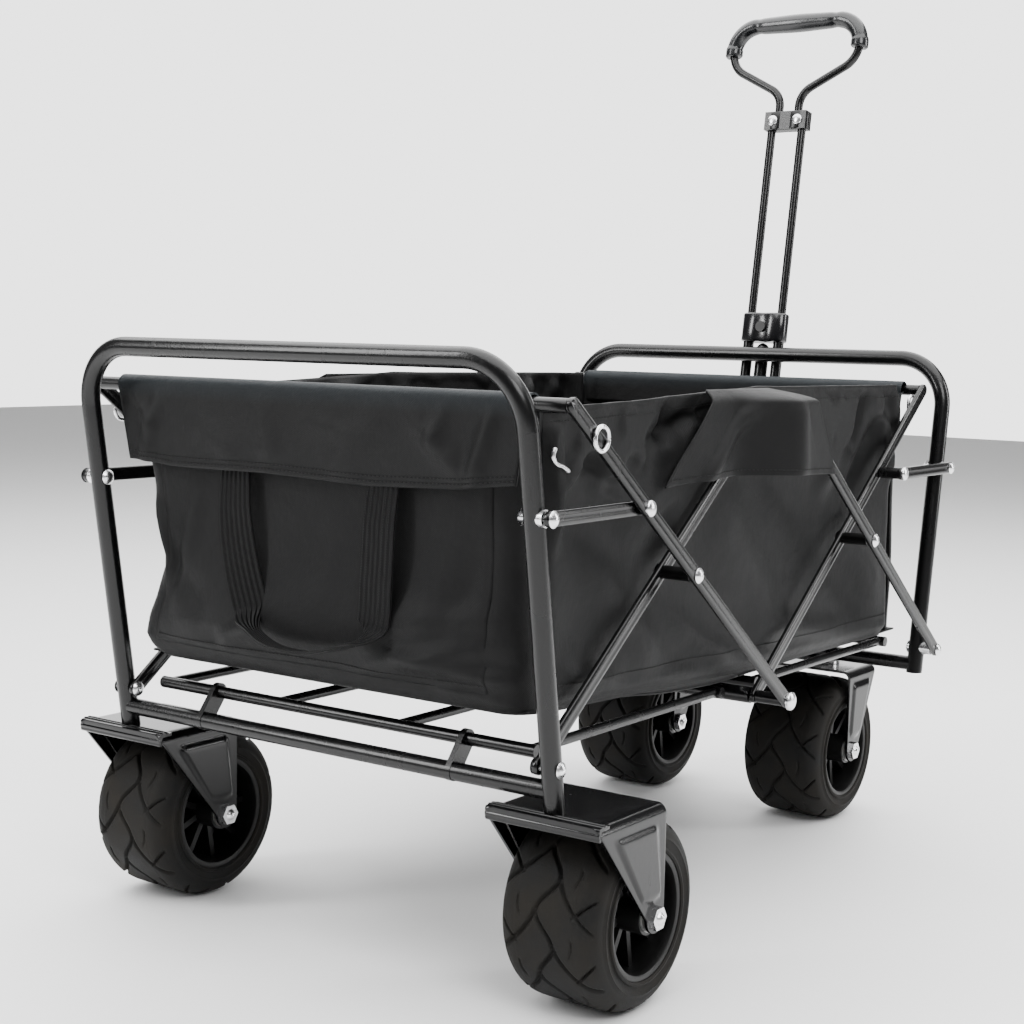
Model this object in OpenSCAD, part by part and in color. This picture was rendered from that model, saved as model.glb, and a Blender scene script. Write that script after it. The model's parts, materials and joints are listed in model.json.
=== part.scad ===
// Folding beach wagon: two leaning end frames joined by scissor links, a two-part
// floor frame that carries a fabric bag, wide rear wheels in fixed forks, front
// wheels in swivelling casters, and a telescopic pull handle.
// +X runs forward to the pull handle, +Y to the left, +Z up. Z = 0 is the ground.

/* [Cart] */
// Distance between the foot pivots of the two end frames
pivot_span = 790; // [720:1:960]
// Distance between the left and right leg centre lines
leg_track = 530; // [440:1:640]
// Height of the foot pivots above the ground
pivot_z = 230; // [224:1:280]
// Height gained by a scissor link over half the pivot span
link_rise = 300; // [250:1:320]
// Height of the top bars' centre lines above the foot pivots
frame_rise = 350; // [330:1:420]
// Outward lean of each end frame, in degrees
frame_lean = 9; // [4:1:12]

/* [Tubes] */
// Outer diameter of the end frame tubes
frame_tube_d = 19; // [16:0.5:24]
// Wall of every frame tube
tube_wall = 1.5; // [1:0.1:2]
// Centre line radius of the end frames' corners
frame_bend_r = 60; // [40:1:80]
// Outer diameter of the low cross tubes
cross_tube_d = 17; // [14:0.5:20]
// Outer diameter of the rim bars that carry the bag
rim_bar_d = 13; // [10:0.5:15]
// Distance of the rim bars past the pure scissor corner, along the link
rim_reach = 20; // [16:1:26]

/* [Links] */
// Width of a scissor link in its own plane
link_w = 15; // [12:0.5:20]
// Thickness of a scissor link across the cart
link_t = 7; // [5:0.5:9]
// Diameter of the pins at the pivots
pin_d = 8; // [6:0.5:9]
// Diameter of the domed pin heads
head_d = 15; // [12:0.5:18]
// Height of a domed pin head
head_h = 3.5; // [2:0.5:5]
// Share of the outer link, from its top corner, at which the short arm meets it
arm_share = 0.27; // [0.24:0.01:0.3]
// Width of a short arm
arm_w = 14; // [11:0.5:18]
// Length of the spacer that holds a short arm off its leg
arm_stand = 3; // [2:0.5:6]

/* [Wheels] */
// Tyre outer diameter
wheel_d = 178; // [150:1:190]
// Tyre width
wheel_w = 106; // [70:1:115]
// Diameter of the rim that the tyre sits on
rim_d = 116; // [100:1:124]
// Diameter of the wheel axles
axle_d = 12; // [10:0.5:14]
// Distance of the rear axles in from the rear foot pivots
rear_axle_in = 84; // [74:1:95]
// Distance of the rear wheels' middles in from the leg centre lines
rear_wheel_in = 2; // [0:1:6]
// Outer diameter of the wheel hubs
hub_d = 34; // [28:1:40]
// Number of spokes in a rim
spokes = 9; // [5:1:12]

/* [Forks] */
// Sheet thickness of the forks
fork_t = 3; // [2:0.5:4]
// Height of the fork plates above the tyre tops
fork_gap = 9; // [7:1:14]
// Gap between a tyre and each fork arm
fork_side_gap = 4; // [3:0.5:7]
// Depth of the rear fork plates, along the cart
fork_depth = 70; // [60:1:80]
// Depth of the down-turned lip on the rear forks
fork_lip = 12; // [8:1:16]
// Distance of the caster swivels ahead of the front foot pivots
swivel_ahead = 32; // [28:1:44]
// Trail of the front wheels behind their swivels
caster_trail = 30; // [22:1:36]
// Distance between the two caster swivels
caster_track = 250; // [240:1:290]
// Diameter of the caster swivel pins
swivel_d = 10; // [8:0.5:12]

/* [Floor] */
// Height of the floor rails above the foot pivots
floor_lift = 6; // [4:1:10]
// Diameter of the floor rails
floor_rail_d = 12; // [10:0.5:14]
// Diameter of the floor bars between the rails
floor_bar_d = 10; // [8:0.5:12]
// Distance of the floor hinges in from the foot pivots
floor_hinge_in = 23; // [20:1:32]
// Half the gap left between the two floor halves, to the rail centres
floor_gap = 38; // [36:1:60]
// Distance of the outer floor bars in from the leg centre lines
floor_in = 39; // [36:1:70]

/* [Bag] */
// Thickness of the bag cloth
cloth_t = 3; // [2:0.5:4]
// Distance of the bag's sides in from the leg centre lines
bag_in = 29; // [28:1:60]
// Distance of the end panels outward of the foot pivots
bag_end_out = 5; // [4:0.5:8]
// Height of the bag's rim above the foot pivots
bag_rise = 300; // [260:1:300]
// Depth of the pouch on the rear panel
pouch_t = 10; // [6:1:12]

/* [Handle] */
// Distance between the two handle tubes
handle_pitch = 44; // [40:1:60]
// Outer diameter of the lower handle tubes
outer_tube_d = 14; // [14:0.5:18]
// Outer diameter of the sliding handle tubes
inner_tube_d = 11; // [10:0.5:11]
// Distance of the handle's plane in front of the front frame's plane
handle_out = 22; // [20:1:30]
// Length from the handle pivot to the collar's middle
collar_at = 413; // [390:1:460]
// Length from the handle pivot to the upper bracket's middle
yoke_at = 690; // [640:1:760]
// Outer diameter of the hand grip
grip_d = 23; // [20:0.5:28]
// Half the width of the handle loop, to the tube's centre line
loop_half_w = 92; // [80:1:110]

/* [Clearances] */
// Radial running clearance of pins in their bores
run_gap = 0.05; // [0.02:0.01:0.1]
// Side clearance between moving pieces
side_gap = 0.5; // [0.3:0.1:1]

/* [Hidden] */
$fn = 64;
slack = 1;

half_span = pivot_span / 2;
leg_y = leg_track / 2;
leg_r = frame_tube_d / 2;
cross_r = cross_tube_d / 2;

// Link and arm planes, as distances from the cart's middle plane to each piece's centre
inner_y = leg_y - leg_r - side_gap - link_t / 2;
arm_y = leg_y + leg_r + arm_stand + link_t / 2;
outer_y = arm_y + link_t + side_gap;
// A short arm's rivet stops this far short of the piece that it is not part of
rivet_gap = 0.3;
sleeve_d = head_d - 2;

// Scissor corner points, X and Z
foot = [half_span, pivot_z];
top_mid = [0, pivot_z + link_rise];
low_mid = [0, pivot_z];
corner = [half_span, pivot_z + link_rise];
link_len = norm([half_span, link_rise]);
link_angle = atan2(link_rise, half_span);
cross_pt = [half_span / 2, pivot_z + link_rise / 2];
rim_pt = corner + rim_reach * [cos(link_angle), sin(link_angle)];
arm_pt = corner + arm_share * (low_mid - corner);

// Where the leaning frame's plane is at a height
function lean_x(z) = half_span + (z - pivot_z) * tan(frame_lean);
arm_root = [lean_x(arm_pt[1]), arm_pt[1]];

wheel_r = wheel_d / 2;
fork_z = wheel_d + fork_gap + fork_t;
fork_in = wheel_w / 2 + fork_side_gap;
fork_out = fork_in + fork_t;
rear_wheel_y = leg_y - rear_wheel_in;
rear_axle_x = half_span - rear_axle_in;
swivel_x = half_span + swivel_ahead;
front_axle_x = swivel_x - caster_trail;
bush_wall = 3;
bush_flange = 1.5;

cross_drop = 20;
cross_z = pivot_z - cross_drop;
cross_x = lean_x(cross_z);
front_leg_z = cross_z - cross_drop / 2;
floor_w = leg_track - 2 * floor_in;
bag_w = leg_track - 2 * bag_in;
ear_wall = 3;
floor_z = pivot_z + floor_lift;
floor_hinge_x = half_span - floor_hinge_in;
cloth_gap = 0.3;
cloth_z = floor_z + floor_rail_d / 2 + cloth_gap;
end_x = half_span + bag_end_out;
bag_low_z = cloth_z + cloth_t + slack;
bag_top_z = pivot_z + bag_rise;
side_y = bag_w / 2 + slack;
strap_half = 83;
strap_w = 28;
strap_t = 2;
strap_low = pivot_z + 72;

swing_z = cross_z;
tube_y = handle_pitch / 2;
collar_h = 38;
collar_w = handle_pitch + outer_tube_d + 4;
collar_t = 24;
collar_lid = 4;
yoke_h = 24;
ear_t = 4;
ear_y = tube_y + outer_tube_d / 2 + side_gap + 3;
slide_in = 60;
button_d = 14;
button_out = 3;
loop_foot_y = 14;
loop_tube_d = 11;
loop_low_r = 28;
loop_top_r = 34;
loop_turn = 62;
loop_start = 8;
grip_turn = 100;
bend_step = 0.2;
bend_lap = 2;

// The overall box runs from the rear top bar to the front of the grip
loop_low_end = [loop_foot_y + loop_low_r * (1 - cos(loop_turn)), loop_low_r * sin(loop_turn)];
loop_top_y = loop_half_w - loop_top_r;
loop_high_start = [loop_top_y + loop_top_r * cos(loop_turn), -loop_top_r * sin(loop_turn)];
loop_run = (loop_high_start[0] - loop_low_end[0]) / sin(loop_turn);
loop_mid_h = loop_low_end[1] + loop_run * cos(loop_turn) - loop_high_start[1];
grip_h = yoke_at + yoke_h / 2 + loop_start + loop_mid_h + loop_top_r;
rear_edge = -lean_x(pivot_z + frame_rise) - leg_r;
swing_x = cross_x + handle_out * cos(frame_lean);
pivot_drop = swing_z - handle_out * sin(frame_lean);
grip_x = swing_x + grip_h * sin(frame_lean);
front_edge = grip_x + grip_d / 2;
shift_x = -(rear_edge + front_edge) / 2;

// ---- placing helpers ----

// The whole cart stands with its overall box centred on X = 0
module placed() {
    translate([shift_x, 0, 0]) children();
}

// Left-hand shapes are drawn at +Y and mirrored for the right
module side(is_left) {
    mirror([0, is_left ? 0 : 1, 0]) children();
}

module both_sides() {
    side(true) children();
    side(false) children();
}

// Front shapes are drawn at +X and mirrored for the rear
module end(is_front) {
    mirror([is_front ? 0 : 1, 0, 0]) children();
}

// Local frame of a leaning end: Z runs up along the legs from the foot pivot
module on_frame() {
    translate([half_span, 0, pivot_z]) rotate([0, frame_lean, 0]) children();
}

// Local frame of the pull handle: Z runs up along it from its pivot
module on_handle() {
    translate([swing_x, 0, pivot_drop]) rotate([0, frame_lean, 0]) children();
}

// ---- shape helpers ----

// A rod along Y between two distances from the middle plane
module rod_y(d, y0, y1) {
    translate([0, y0, 0]) rotate([-90, 0, 0]) cylinder(d = d, h = y1 - y0);
}

module ring(d, wall) {
    difference() {
        circle(d = d);
        circle(d = d - 2 * wall);
    }
}

// A hollow tube along Z
module tube(d, wall, len) {
    linear_extrude(len) ring(d, wall);
}

// A hollow tube along Y
module tube_y(d, wall, y0, y1) {
    translate([0, y0, 0]) rotate([-90, 0, 0]) tube(d, wall, y1 - y0);
}

// A domed head whose flat face is at Z = 0
module dome(d, h) {
    ball_r = (d * d / 4 + h * h) / (2 * h);
    intersection() {
        cylinder(d = d, h = h);
        translate([0, 0, h - ball_r]) sphere(r = ball_r);
    }
}

// A pin along Y with a domed head at each end
module pin_y(d, y0, y1) {
    rod_y(d, y0, y1);
    translate([0, y1, 0]) rotate([-90, 0, 0]) dome(head_d, head_h);
    translate([0, y0, 0]) rotate([90, 0, 0]) dome(head_d, head_h);
}

// A flat bar with round ends between two X and Z points, centred on Y = at_y
module bar(p, q, w, t, at_y) {
    len = norm(q - p);
    translate([p[0], at_y + t / 2, p[1]])
        rotate([90, -atan2(q[1] - p[1], q[0] - p[0]), 0])
            linear_extrude(t) {
                circle(d = w);
                translate([len, 0]) circle(d = w);
                translate([0, -w / 2]) square([len, w]);
            }
}

// A hole along Y at an X and Z point
module hole(p, d) {
    translate([p[0], leg_y, p[1]]) rotate([90, 0, 0])
        cylinder(d = d, h = 2 * leg_y, center = true);
}

// ---- end frames ----

// A hollow inverted U in the leaning plane, cut level at its feet
module leg_shell(d, wall, low_z) {
    top_h = frame_rise / cos(frame_lean);
    low_h = (low_z - pivot_z) / cos(frame_lean) - frame_tube_d;
    difference() {
        on_frame() {
            both_sides() {
                translate([0, leg_y, low_h]) tube(d, wall, top_h - frame_bend_r - low_h);
                translate([0, leg_y - frame_bend_r, top_h - frame_bend_r]) rotate([90, 0, 90])
                    rotate_extrude(angle = 90) translate([frame_bend_r, 0]) ring(d, wall);
            }
            translate([0, 0, top_h]) tube_y(d, wall, frame_bend_r - leg_y, leg_y - frame_bend_r);
        }
        translate([half_span / 2, -leg_track, low_z - 3 * frame_tube_d])
            cube([half_span, 2 * leg_track, 3 * frame_tube_d]);
    }
}

module end_frame(low_z) {
    difference() {
        leg_shell(frame_tube_d, tube_wall, low_z);
        both_sides() {
            hole(foot, pin_d);
            hole(arm_root, pin_d);
        }
    }
}

module rear_end_frame() color("#141414") placed() end(false) end_frame(fork_z);

module front_end_frame() color("#141414") placed() end(true) end_frame(front_leg_z);

// A solid leaning leg, for coping what meets it
module leg_core() {
    on_frame() translate([0, leg_y, -leg_track / 4])
        cylinder(d = frame_tube_d, h = frame_rise + leg_track / 4);
}

// The low cross tube between the legs, with the ears that carry the floor hinge
module cross_tube() {
    ear_in = 70;
    ear_w = 6;
    difference() {
        union() {
            difference() {
                translate([cross_x, 0, cross_z]) rod_y(cross_tube_d, -leg_y, leg_y);
                both_sides() leg_core();
            }
            both_sides() bar([cross_x, cross_z], [floor_hinge_x, floor_z],
                floor_rail_d + 2 * ear_wall, ear_w, floor_w / 2 - ear_in);
        }
        translate([cross_x, 0, cross_z])
            rod_y(cross_tube_d - 2 * tube_wall, -leg_y - 1, leg_y + 1);
        translate([floor_hinge_x, 0, floor_z])
            rod_y(floor_rail_d + 2 * run_gap, -leg_y, leg_y);
    }
}

module rear_cross_tube() color("#171717") placed() end(false) cross_tube();

// The front cross tube also carries the two caster plates
module front_cross_tube() {
    plate_w = 64;
    plate_back = 12;
    plate_front = 42;
    lap = 2;
    plate_top = cross_z - cross_r;
    color("#171717") placed() {
        cross_tube();
        both_sides() difference() {
            translate([cross_x - plate_back, caster_track / 2 - plate_w / 2, plate_top - fork_t])
                cube([swivel_x - cross_x + plate_front, plate_w, fork_t + lap]);
            translate([cross_x, 0, cross_z])
                rod_y(cross_tube_d - 2 * tube_wall, -leg_y, leg_y);
            translate([cross_x + cross_r, caster_track / 2 - plate_w, plate_top])
                cube([2 * plate_w, 2 * plate_w, 2 * lap]);
            translate([swivel_x, caster_track / 2, 0]) cylinder(d = swivel_d, h = pivot_z);
        }
    }
}

// The spacer round a bolt, from a leg's outer side to a moving piece
module leg_spacer(p, out_y) {
    difference() {
        translate([p[0], 0, p[1]]) rod_y(head_d, leg_y + leg_r / 2, out_y);
        leg_core();
    }
}

// Foot bolt and arm bolt, with the spacer that holds the arm off the leg
module frame_bolts(foot_in, foot_out) {
    seat = 0.5;
    both_sides() {
        translate([foot[0], 0, foot[1]]) pin_y(pin_d, foot_in - seat, foot_out + seat);
        translate([arm_root[0], 0, arm_root[1]])
            pin_y(pin_d, leg_y - leg_r - 4 * seat, arm_y + link_t / 2 + side_gap);
        leg_spacer(arm_root, arm_y - link_t / 2 - side_gap);
    }
}

module rear_frame_bolts() color("silver") placed() end(false)
    frame_bolts(inner_y - link_t / 2, leg_y + leg_r);

module front_frame_bolts() color("silver") placed() end(true) {
    frame_bolts(leg_y - leg_r, outer_y + link_t / 2);
    both_sides() leg_spacer(foot, outer_y - link_t / 2 - side_gap);
}

// ---- wheels and forks ----

// Tyre about the Y axis, with rounded shoulders
module tyre() {
    shoulder = 16;
    flat = wheel_w / 2 - shoulder;
    color("#1c1b19") rotate([90, 0, 0]) rotate_extrude($fn = 96) difference() {
        union() {
            translate([wheel_r - shoulder, -flat]) square([shoulder, 2 * flat]);
            for (s = [-1, 1]) translate([wheel_r - shoulder, s * flat]) circle(r = shoulder);
            translate([rim_d / 2, -flat - shoulder])
                square([wheel_r - shoulder - rim_d / 2, wheel_w]);
        }
        square([rim_d, 3 * wheel_w], center = true);
    }
}

// Dished rim: barrel, hub, a web and spokes on the outer face
module rim() {
    barrel_t = 4;
    barrel_w = wheel_w - 10;
    web_t = 5;
    spoke_w = 6;
    spoke_deep = 30;
    color("#1f1f1f") rotate([90, 0, 0]) difference() {
        union() {
            translate([0, 0, -barrel_w / 2]) linear_extrude(barrel_w) ring(rim_d, barrel_t);
            cylinder(d = hub_d, h = wheel_w, center = true);
            translate([0, 0, -web_t / 2]) cylinder(d = rim_d - barrel_t, h = web_t);
            for (i = [0 : spokes - 1]) rotate(i * 360 / spokes)
                translate([hub_d / 2 - 2, -spoke_w / 2, -spoke_deep])
                    cube([rim_d / 2 - barrel_t - hub_d / 2 + 3, spoke_w, 2 * spoke_deep]);
        }
        cylinder(d = axle_d + 2 * bush_wall, h = 2 * wheel_w, center = true);
    }
}

// A flanged bush in each end of the hub
module bushes() {
    flange_d = hub_d - 6;
    color("#8a8a86") for (s = [-1, 1]) rotate([s * 90, 0, 0]) difference() {
        union() {
            translate([0, 0, wheel_w / 2 - 24]) cylinder(d = axle_d + 2 * bush_wall, h = 24);
            translate([0, 0, wheel_w / 2]) cylinder(d = flange_d, h = bush_flange);
        }
        cylinder(d = axle_d + 2 * run_gap, h = wheel_w);
    }
}

// Axle bolt along Y with a domed nut at both ends
module axle() {
    nut_d = 22;
    nut_h = 5;
    color("silver") {
        rod_y(axle_d, -fork_out, fork_out);
        for (s = [-1, 1]) translate([0, s * fork_out, 0]) rotate([-s * 90, 0, 0]) {
            cylinder(d = nut_d, h = nut_h, $fn = 6);
            translate([0, 0, nut_h]) dome(axle_d, 4);
        }
    }
}

// One tapered fork arm in X and Z, from a plate edge to the axle
module arm_outline(x0, x1, top_z, axle_x) {
    eye_r = 14;
    polygon([[x0, top_z], [x1, top_z], [axle_x + eye_r, wheel_r], [axle_x - eye_r, wheel_r]]);
    translate([axle_x, wheel_r]) circle(r = eye_r);
}

// A formed fork: a plate over the tyre and an arm down each side
module fork(x0, x1, top_z, axle_x) {
    difference() {
        union() {
            translate([x0, -fork_out, top_z - fork_t]) cube([x1 - x0, 2 * fork_out, fork_t]);
            for (s = [-1, 1]) translate([0, s * (fork_in + fork_t / 2) + fork_t / 2, 0])
                rotate([90, 0, 0]) linear_extrude(fork_t) arm_outline(x0, x1, top_z, axle_x);
        }
        translate([axle_x, 0, wheel_r]) rod_y(axle_d, -2 * fork_out, 2 * fork_out);
    }
}

module at_rear_wheel(is_left) {
    side(is_left) translate([-rear_axle_x, rear_wheel_y, wheel_r]) children();
}

module at_front_wheel(is_left) {
    side(is_left) translate([front_axle_x, caster_track / 2, wheel_r]) children();
}

// The rear forks also turn a lip down along their outer edge
module rear_fork() {
    plate_past = 18;
    x0 = -lean_x(fork_z) - plate_past;
    translate([0, rear_wheel_y, 0]) {
        fork(x0, x0 + fork_depth, fork_z, -rear_axle_x);
        translate([x0, -fork_out, fork_z - fork_lip]) cube([fork_t, 2 * fork_out, fork_lip]);
    }
}

module rear_left_fork() color("#101010") placed() side(true) rear_fork();

module rear_right_fork() color("#101010") placed() side(false) rear_fork();

module front_fork() {
    half_plate = 31;
    translate([0, caster_track / 2, 0]) difference() {
        fork(swivel_x - half_plate, swivel_x + half_plate, fork_z, front_axle_x);
        translate([swivel_x, 0, 0]) cylinder(d = swivel_d + 2 * run_gap, h = pivot_z);
    }
}

module front_left_fork() color("#101010") placed() side(true) front_fork();

module front_right_fork() color("#101010") placed() side(false) front_fork();

module rear_axles() placed() {
    at_rear_wheel(true) axle();
    at_rear_wheel(false) axle();
}

module front_left_axle() placed() at_front_wheel(true) axle();

module front_right_axle() placed() at_front_wheel(false) axle();

module rear_left_tyre() placed() at_rear_wheel(true) tyre();

module rear_left_rim() placed() at_rear_wheel(true) rim();

module rear_left_bushes() placed() at_rear_wheel(true) bushes();

module rear_right_tyre() placed() at_rear_wheel(false) tyre();

module rear_right_rim() placed() at_rear_wheel(false) rim();

module rear_right_bushes() placed() at_rear_wheel(false) bushes();

module front_left_tyre() placed() at_front_wheel(true) tyre();

module front_left_rim() placed() at_front_wheel(true) rim();

module front_left_bushes() placed() at_front_wheel(true) bushes();

module front_right_tyre() placed() at_front_wheel(false) tyre();

module front_right_rim() placed() at_front_wheel(false) rim();

module front_right_bushes() placed() at_front_wheel(false) bushes();

// Swivel pins with the race that each caster turns under
module caster_swivel_pins() {
    plate_low = cross_z - cross_r - fork_t;
    nut_h = 4;
    race_low = fork_z + side_gap;
    color("silver") placed() both_sides() translate([swivel_x, caster_track / 2, 0]) {
        translate([0, 0, fork_z - fork_t - side_gap]) cylinder(d = swivel_d, h = plate_low
            + fork_t + side_gap + fork_t - fork_z);
        translate([0, 0, fork_z - fork_t - side_gap - nut_h]) cylinder(d = 17, h = nut_h);
        translate([0, 0, race_low]) cylinder(d = 44, h = plate_low - race_low);
        translate([0, 0, plate_low + fork_t]) dome(17, 5);
    }
}

// ---- scissor links ----

// The rear inner link runs from the rear foot pivot up to the top middle pivot
module rear_inner_link() {
    difference() {
        bar([-foot[0], foot[1]], top_mid, link_w, link_t, inner_y);
        hole([-foot[0], foot[1]], pin_d + 2 * run_gap);
        hole([-cross_pt[0], cross_pt[1]], pin_d);
        hole(top_mid, pin_d);
    }
}

// The rear outer link runs from the rear rim bar down to the low middle pivot
module rear_outer_link() {
    difference() {
        bar([-rim_pt[0], rim_pt[1]], low_mid, link_w, link_t, outer_y);
        hole([-cross_pt[0], cross_pt[1]], pin_d + 2 * run_gap);
        hole(low_mid, pin_d + 2 * run_gap);
    }
    translate([-arm_pt[0], outer_y + link_t / 2, arm_pt[1]]) rotate([-90, 0, 0])
        dome(head_d, head_h);
}

// The front inner link runs from the low middle pivot up to the front rim bar
module front_inner_link() {
    difference() {
        bar(low_mid, rim_pt, link_w, link_t, inner_y);
        hole(low_mid, pin_d + 2 * run_gap);
        hole(cross_pt, pin_d);
    }
}

// The front outer link runs from the top middle pivot down to the front foot pivot
module front_outer_link() {
    difference() {
        bar(top_mid, foot, link_w, link_t, outer_y);
        hole(top_mid, pin_d + 2 * run_gap);
        hole(cross_pt, pin_d + 2 * run_gap);
        hole(foot, pin_d + 2 * run_gap);
    }
}

module rear_left_inner_link() color("#161616") placed() side(true) rear_inner_link();

module rear_right_inner_link() color("#161616") placed() side(false) rear_inner_link();

module rear_left_outer_link() color("#161616") placed() side(true) rear_outer_link();

module rear_right_outer_link() color("#161616") placed() side(false) rear_outer_link();

module front_left_inner_link() color("#161616") placed() side(true) front_inner_link();

module front_right_inner_link() color("#161616") placed() side(false) front_inner_link();

module front_left_outer_link() color("#161616") placed() side(true) front_outer_link();

module front_right_outer_link() color("#161616") placed() side(false) front_outer_link();

// A pin through both link planes, with a spacer sleeve between them
module link_pin(p) {
    translate([p[0], 0, p[1]]) {
        pin_y(pin_d, inner_y - link_t / 2, outer_y + link_t / 2 + side_gap);
        rod_y(sleeve_d, inner_y + link_t / 2, outer_y - link_t / 2 - side_gap);
    }
}

module rear_link_pins() color("silver") placed() both_sides() {
    link_pin([-cross_pt[0], cross_pt[1]]);
    link_pin(top_mid);
}

module front_link_pins() color("silver") placed() both_sides() link_pin(cross_pt);

module rear_rim_bar() color("#161616") placed() translate([-rim_pt[0], 0, rim_pt[1]])
    tube_y(rim_bar_d, tube_wall, link_t / 2 - outer_y, outer_y - link_t / 2);

module front_rim_bar() color("#161616") placed() translate([rim_pt[0], 0, rim_pt[1]])
    tube_y(rim_bar_d, tube_wall, link_t / 2 - inner_y, inner_y - link_t / 2);

// The tube that joins the two low middle pivots, with saddles under the floor's middle
module bottom_cross_tube() {
    end_y = inner_y - link_t / 2 - side_gap;
    saddle_w = 40;
    saddle_in = 90;
    saddle_past = 14;
    plug = 10;
    saddle_at = floor_w / 2 - saddle_in;
    saddle_top = floor_z - floor_rail_d / 2 - cloth_gap;
    color("#171717") placed() translate([low_mid[0], 0, low_mid[1]]) {
        difference() {
            union() {
                rod_y(cross_tube_d, -end_y, end_y);
                both_sides() translate([-floor_gap - saddle_past, saddle_at - saddle_w / 2,
                    saddle_top - fork_t - pivot_z])
                    cube([2 * (floor_gap + saddle_past), saddle_w, fork_t]);
            }
            rod_y(cross_tube_d - 2 * tube_wall, plug - end_y, end_y - plug);
        }
        both_sides() {
            rod_y(pin_d, end_y - plug / 2, outer_y + link_t / 2 + side_gap);
            rod_y(sleeve_d, inner_y + link_t / 2 + side_gap, outer_y - link_t / 2 - side_gap);
            translate([0, outer_y + link_t / 2 + side_gap, 0]) rotate([-90, 0, 0])
                dome(head_d, head_h);
        }
    }
}

// A short arm from the leg bolt to where it meets a link
module arm() {
    difference() {
        bar(arm_root, arm_pt, arm_w, link_t, arm_y);
        hole(arm_root, pin_d + 2 * run_gap);
    }
}

// The front arm's headed rivet and sleeve reach in to the inner link
module front_arm() {
    arm();
    translate([arm_pt[0], 0, arm_pt[1]]) {
        rod_y(sleeve_d, inner_y + link_t / 2 + rivet_gap, arm_y);
        translate([0, arm_y + link_t / 2, 0]) rotate([-90, 0, 0]) dome(head_d, head_h);
    }
}

module rear_left_arm() color("#161616") placed() end(false) side(true) arm();

module rear_right_arm() color("#161616") placed() end(false) side(false) arm();

module front_left_arm() color("#161616") placed() end(true) side(true) front_arm();

module front_right_arm() color("#161616") placed() end(true) side(false) front_arm();

// ---- floor ----

// Half of the floor frame: a hinge rail, a middle rail and four bars between them
module floor_half() {
    rail_past = 2;
    rail_y = floor_w / 2 + floor_rail_d / 2 + rail_past;
    translate([0, 0, floor_z]) {
        for (x = [floor_gap, floor_hinge_x]) translate([x, 0, 0])
            rod_y(floor_rail_d, -rail_y, rail_y);
        for (share = [-1 / 2, -1 / 6, 1 / 6, 1 / 2])
            translate([floor_gap, share * floor_w, 0]) rotate([0, 90, 0])
                cylinder(d = floor_bar_d, h = floor_hinge_x - floor_gap);
    }
}

module rear_floor_frame() color("#181818") placed() end(false) floor_half();

module front_floor_frame() color("#181818") placed() end(true) floor_half();

// ---- bag ----

// Half of the bag's base, on its half of the floor frame and clear of the hinge ears
module base_half() {
    ear_clear = floor_rail_d / 2 + ear_wall + slack;
    translate([floor_gap, -bag_w / 2, cloth_z])
        cube([floor_hinge_x - ear_clear - floor_gap, bag_w, cloth_t]);
}

module bag_base_rear() color("#1b1b1c") placed() end(false) base_half();

module bag_base_front() color("#1b1b1c") placed() end(true) base_half();

module end_panel() {
    translate([end_x, -bag_w / 2, bag_low_z])
        cube([cloth_t, bag_w, bag_top_z - bag_low_z]);
}

module bag_rear_panel() color("#1b1b1c") placed() end(false) end_panel();

module bag_front_panel() color("#1b1b1c") placed() end(true) end_panel();

module side_panel() {
    translate([slack - end_x, side_y, bag_low_z])
        cube([2 * (end_x - slack), cloth_t, bag_top_z - bag_low_z]);
}

module bag_left_panel() color("#1b1b1c") placed() side(true) side_panel();

module bag_right_panel() color("#1b1b1c") placed() side(false) side_panel();

// The wide flat pouch sewn on the rear panel
module rear_pouch() {
    pouch_in = 22;
    pouch_up = 14;
    pouch_h = 210;
    pouch_w = bag_w - 2 * pouch_in;
    color("#1e1e1f") placed() end(false)
        translate([end_x + cloth_t, -pouch_w / 2, bag_low_z + pouch_up])
            cube([pouch_t, pouch_w, pouch_h]);
}

// A loop of webbing that hangs on the pouch, for lifting the folded cart
module webbing_handle() {
    straight = 80;
    color("#202020") placed() end(false)
        translate([end_x + cloth_t + pouch_t, 0, strap_low + strap_half]) {
            both_sides() translate([0, strap_half - strap_w / 2, 0])
                cube([strap_t, strap_w / 2, straight]);
            rotate([90, 0, 90]) rotate([0, 0, 180]) rotate_extrude(angle = 180)
                translate([strap_half - strap_w / 2, 0]) square([strap_w / 2, strap_t]);
        }
}

// ---- pull handle ----

// Ears on the front cross tube that hold the handle's pivot pin
module handle_bracket() {
    ear_len = 30;
    ear_h = 26;
    foot_room = 4;
    color("#171717") placed() {
        difference() {
            on_handle() union() {
                both_sides() translate([-handle_out, ear_y - ear_t / 2, -ear_h / 2])
                    cube([handle_out + ear_len / 2, ear_t, ear_h]);
                translate([-handle_out, -ear_y, -ear_h / 2])
                    cube([handle_out - outer_tube_d / 2 - foot_room, 2 * ear_y, ear_h]);
            }
            translate([cross_x, 0, cross_z]) rod_y(cross_tube_d, -leg_y, leg_y);
            on_handle() rod_y(pin_d, -leg_y, leg_y);
        }
        on_handle() pin_y(pin_d, -ear_y - ear_t / 2, ear_y + ear_t / 2);
    }
}

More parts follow.
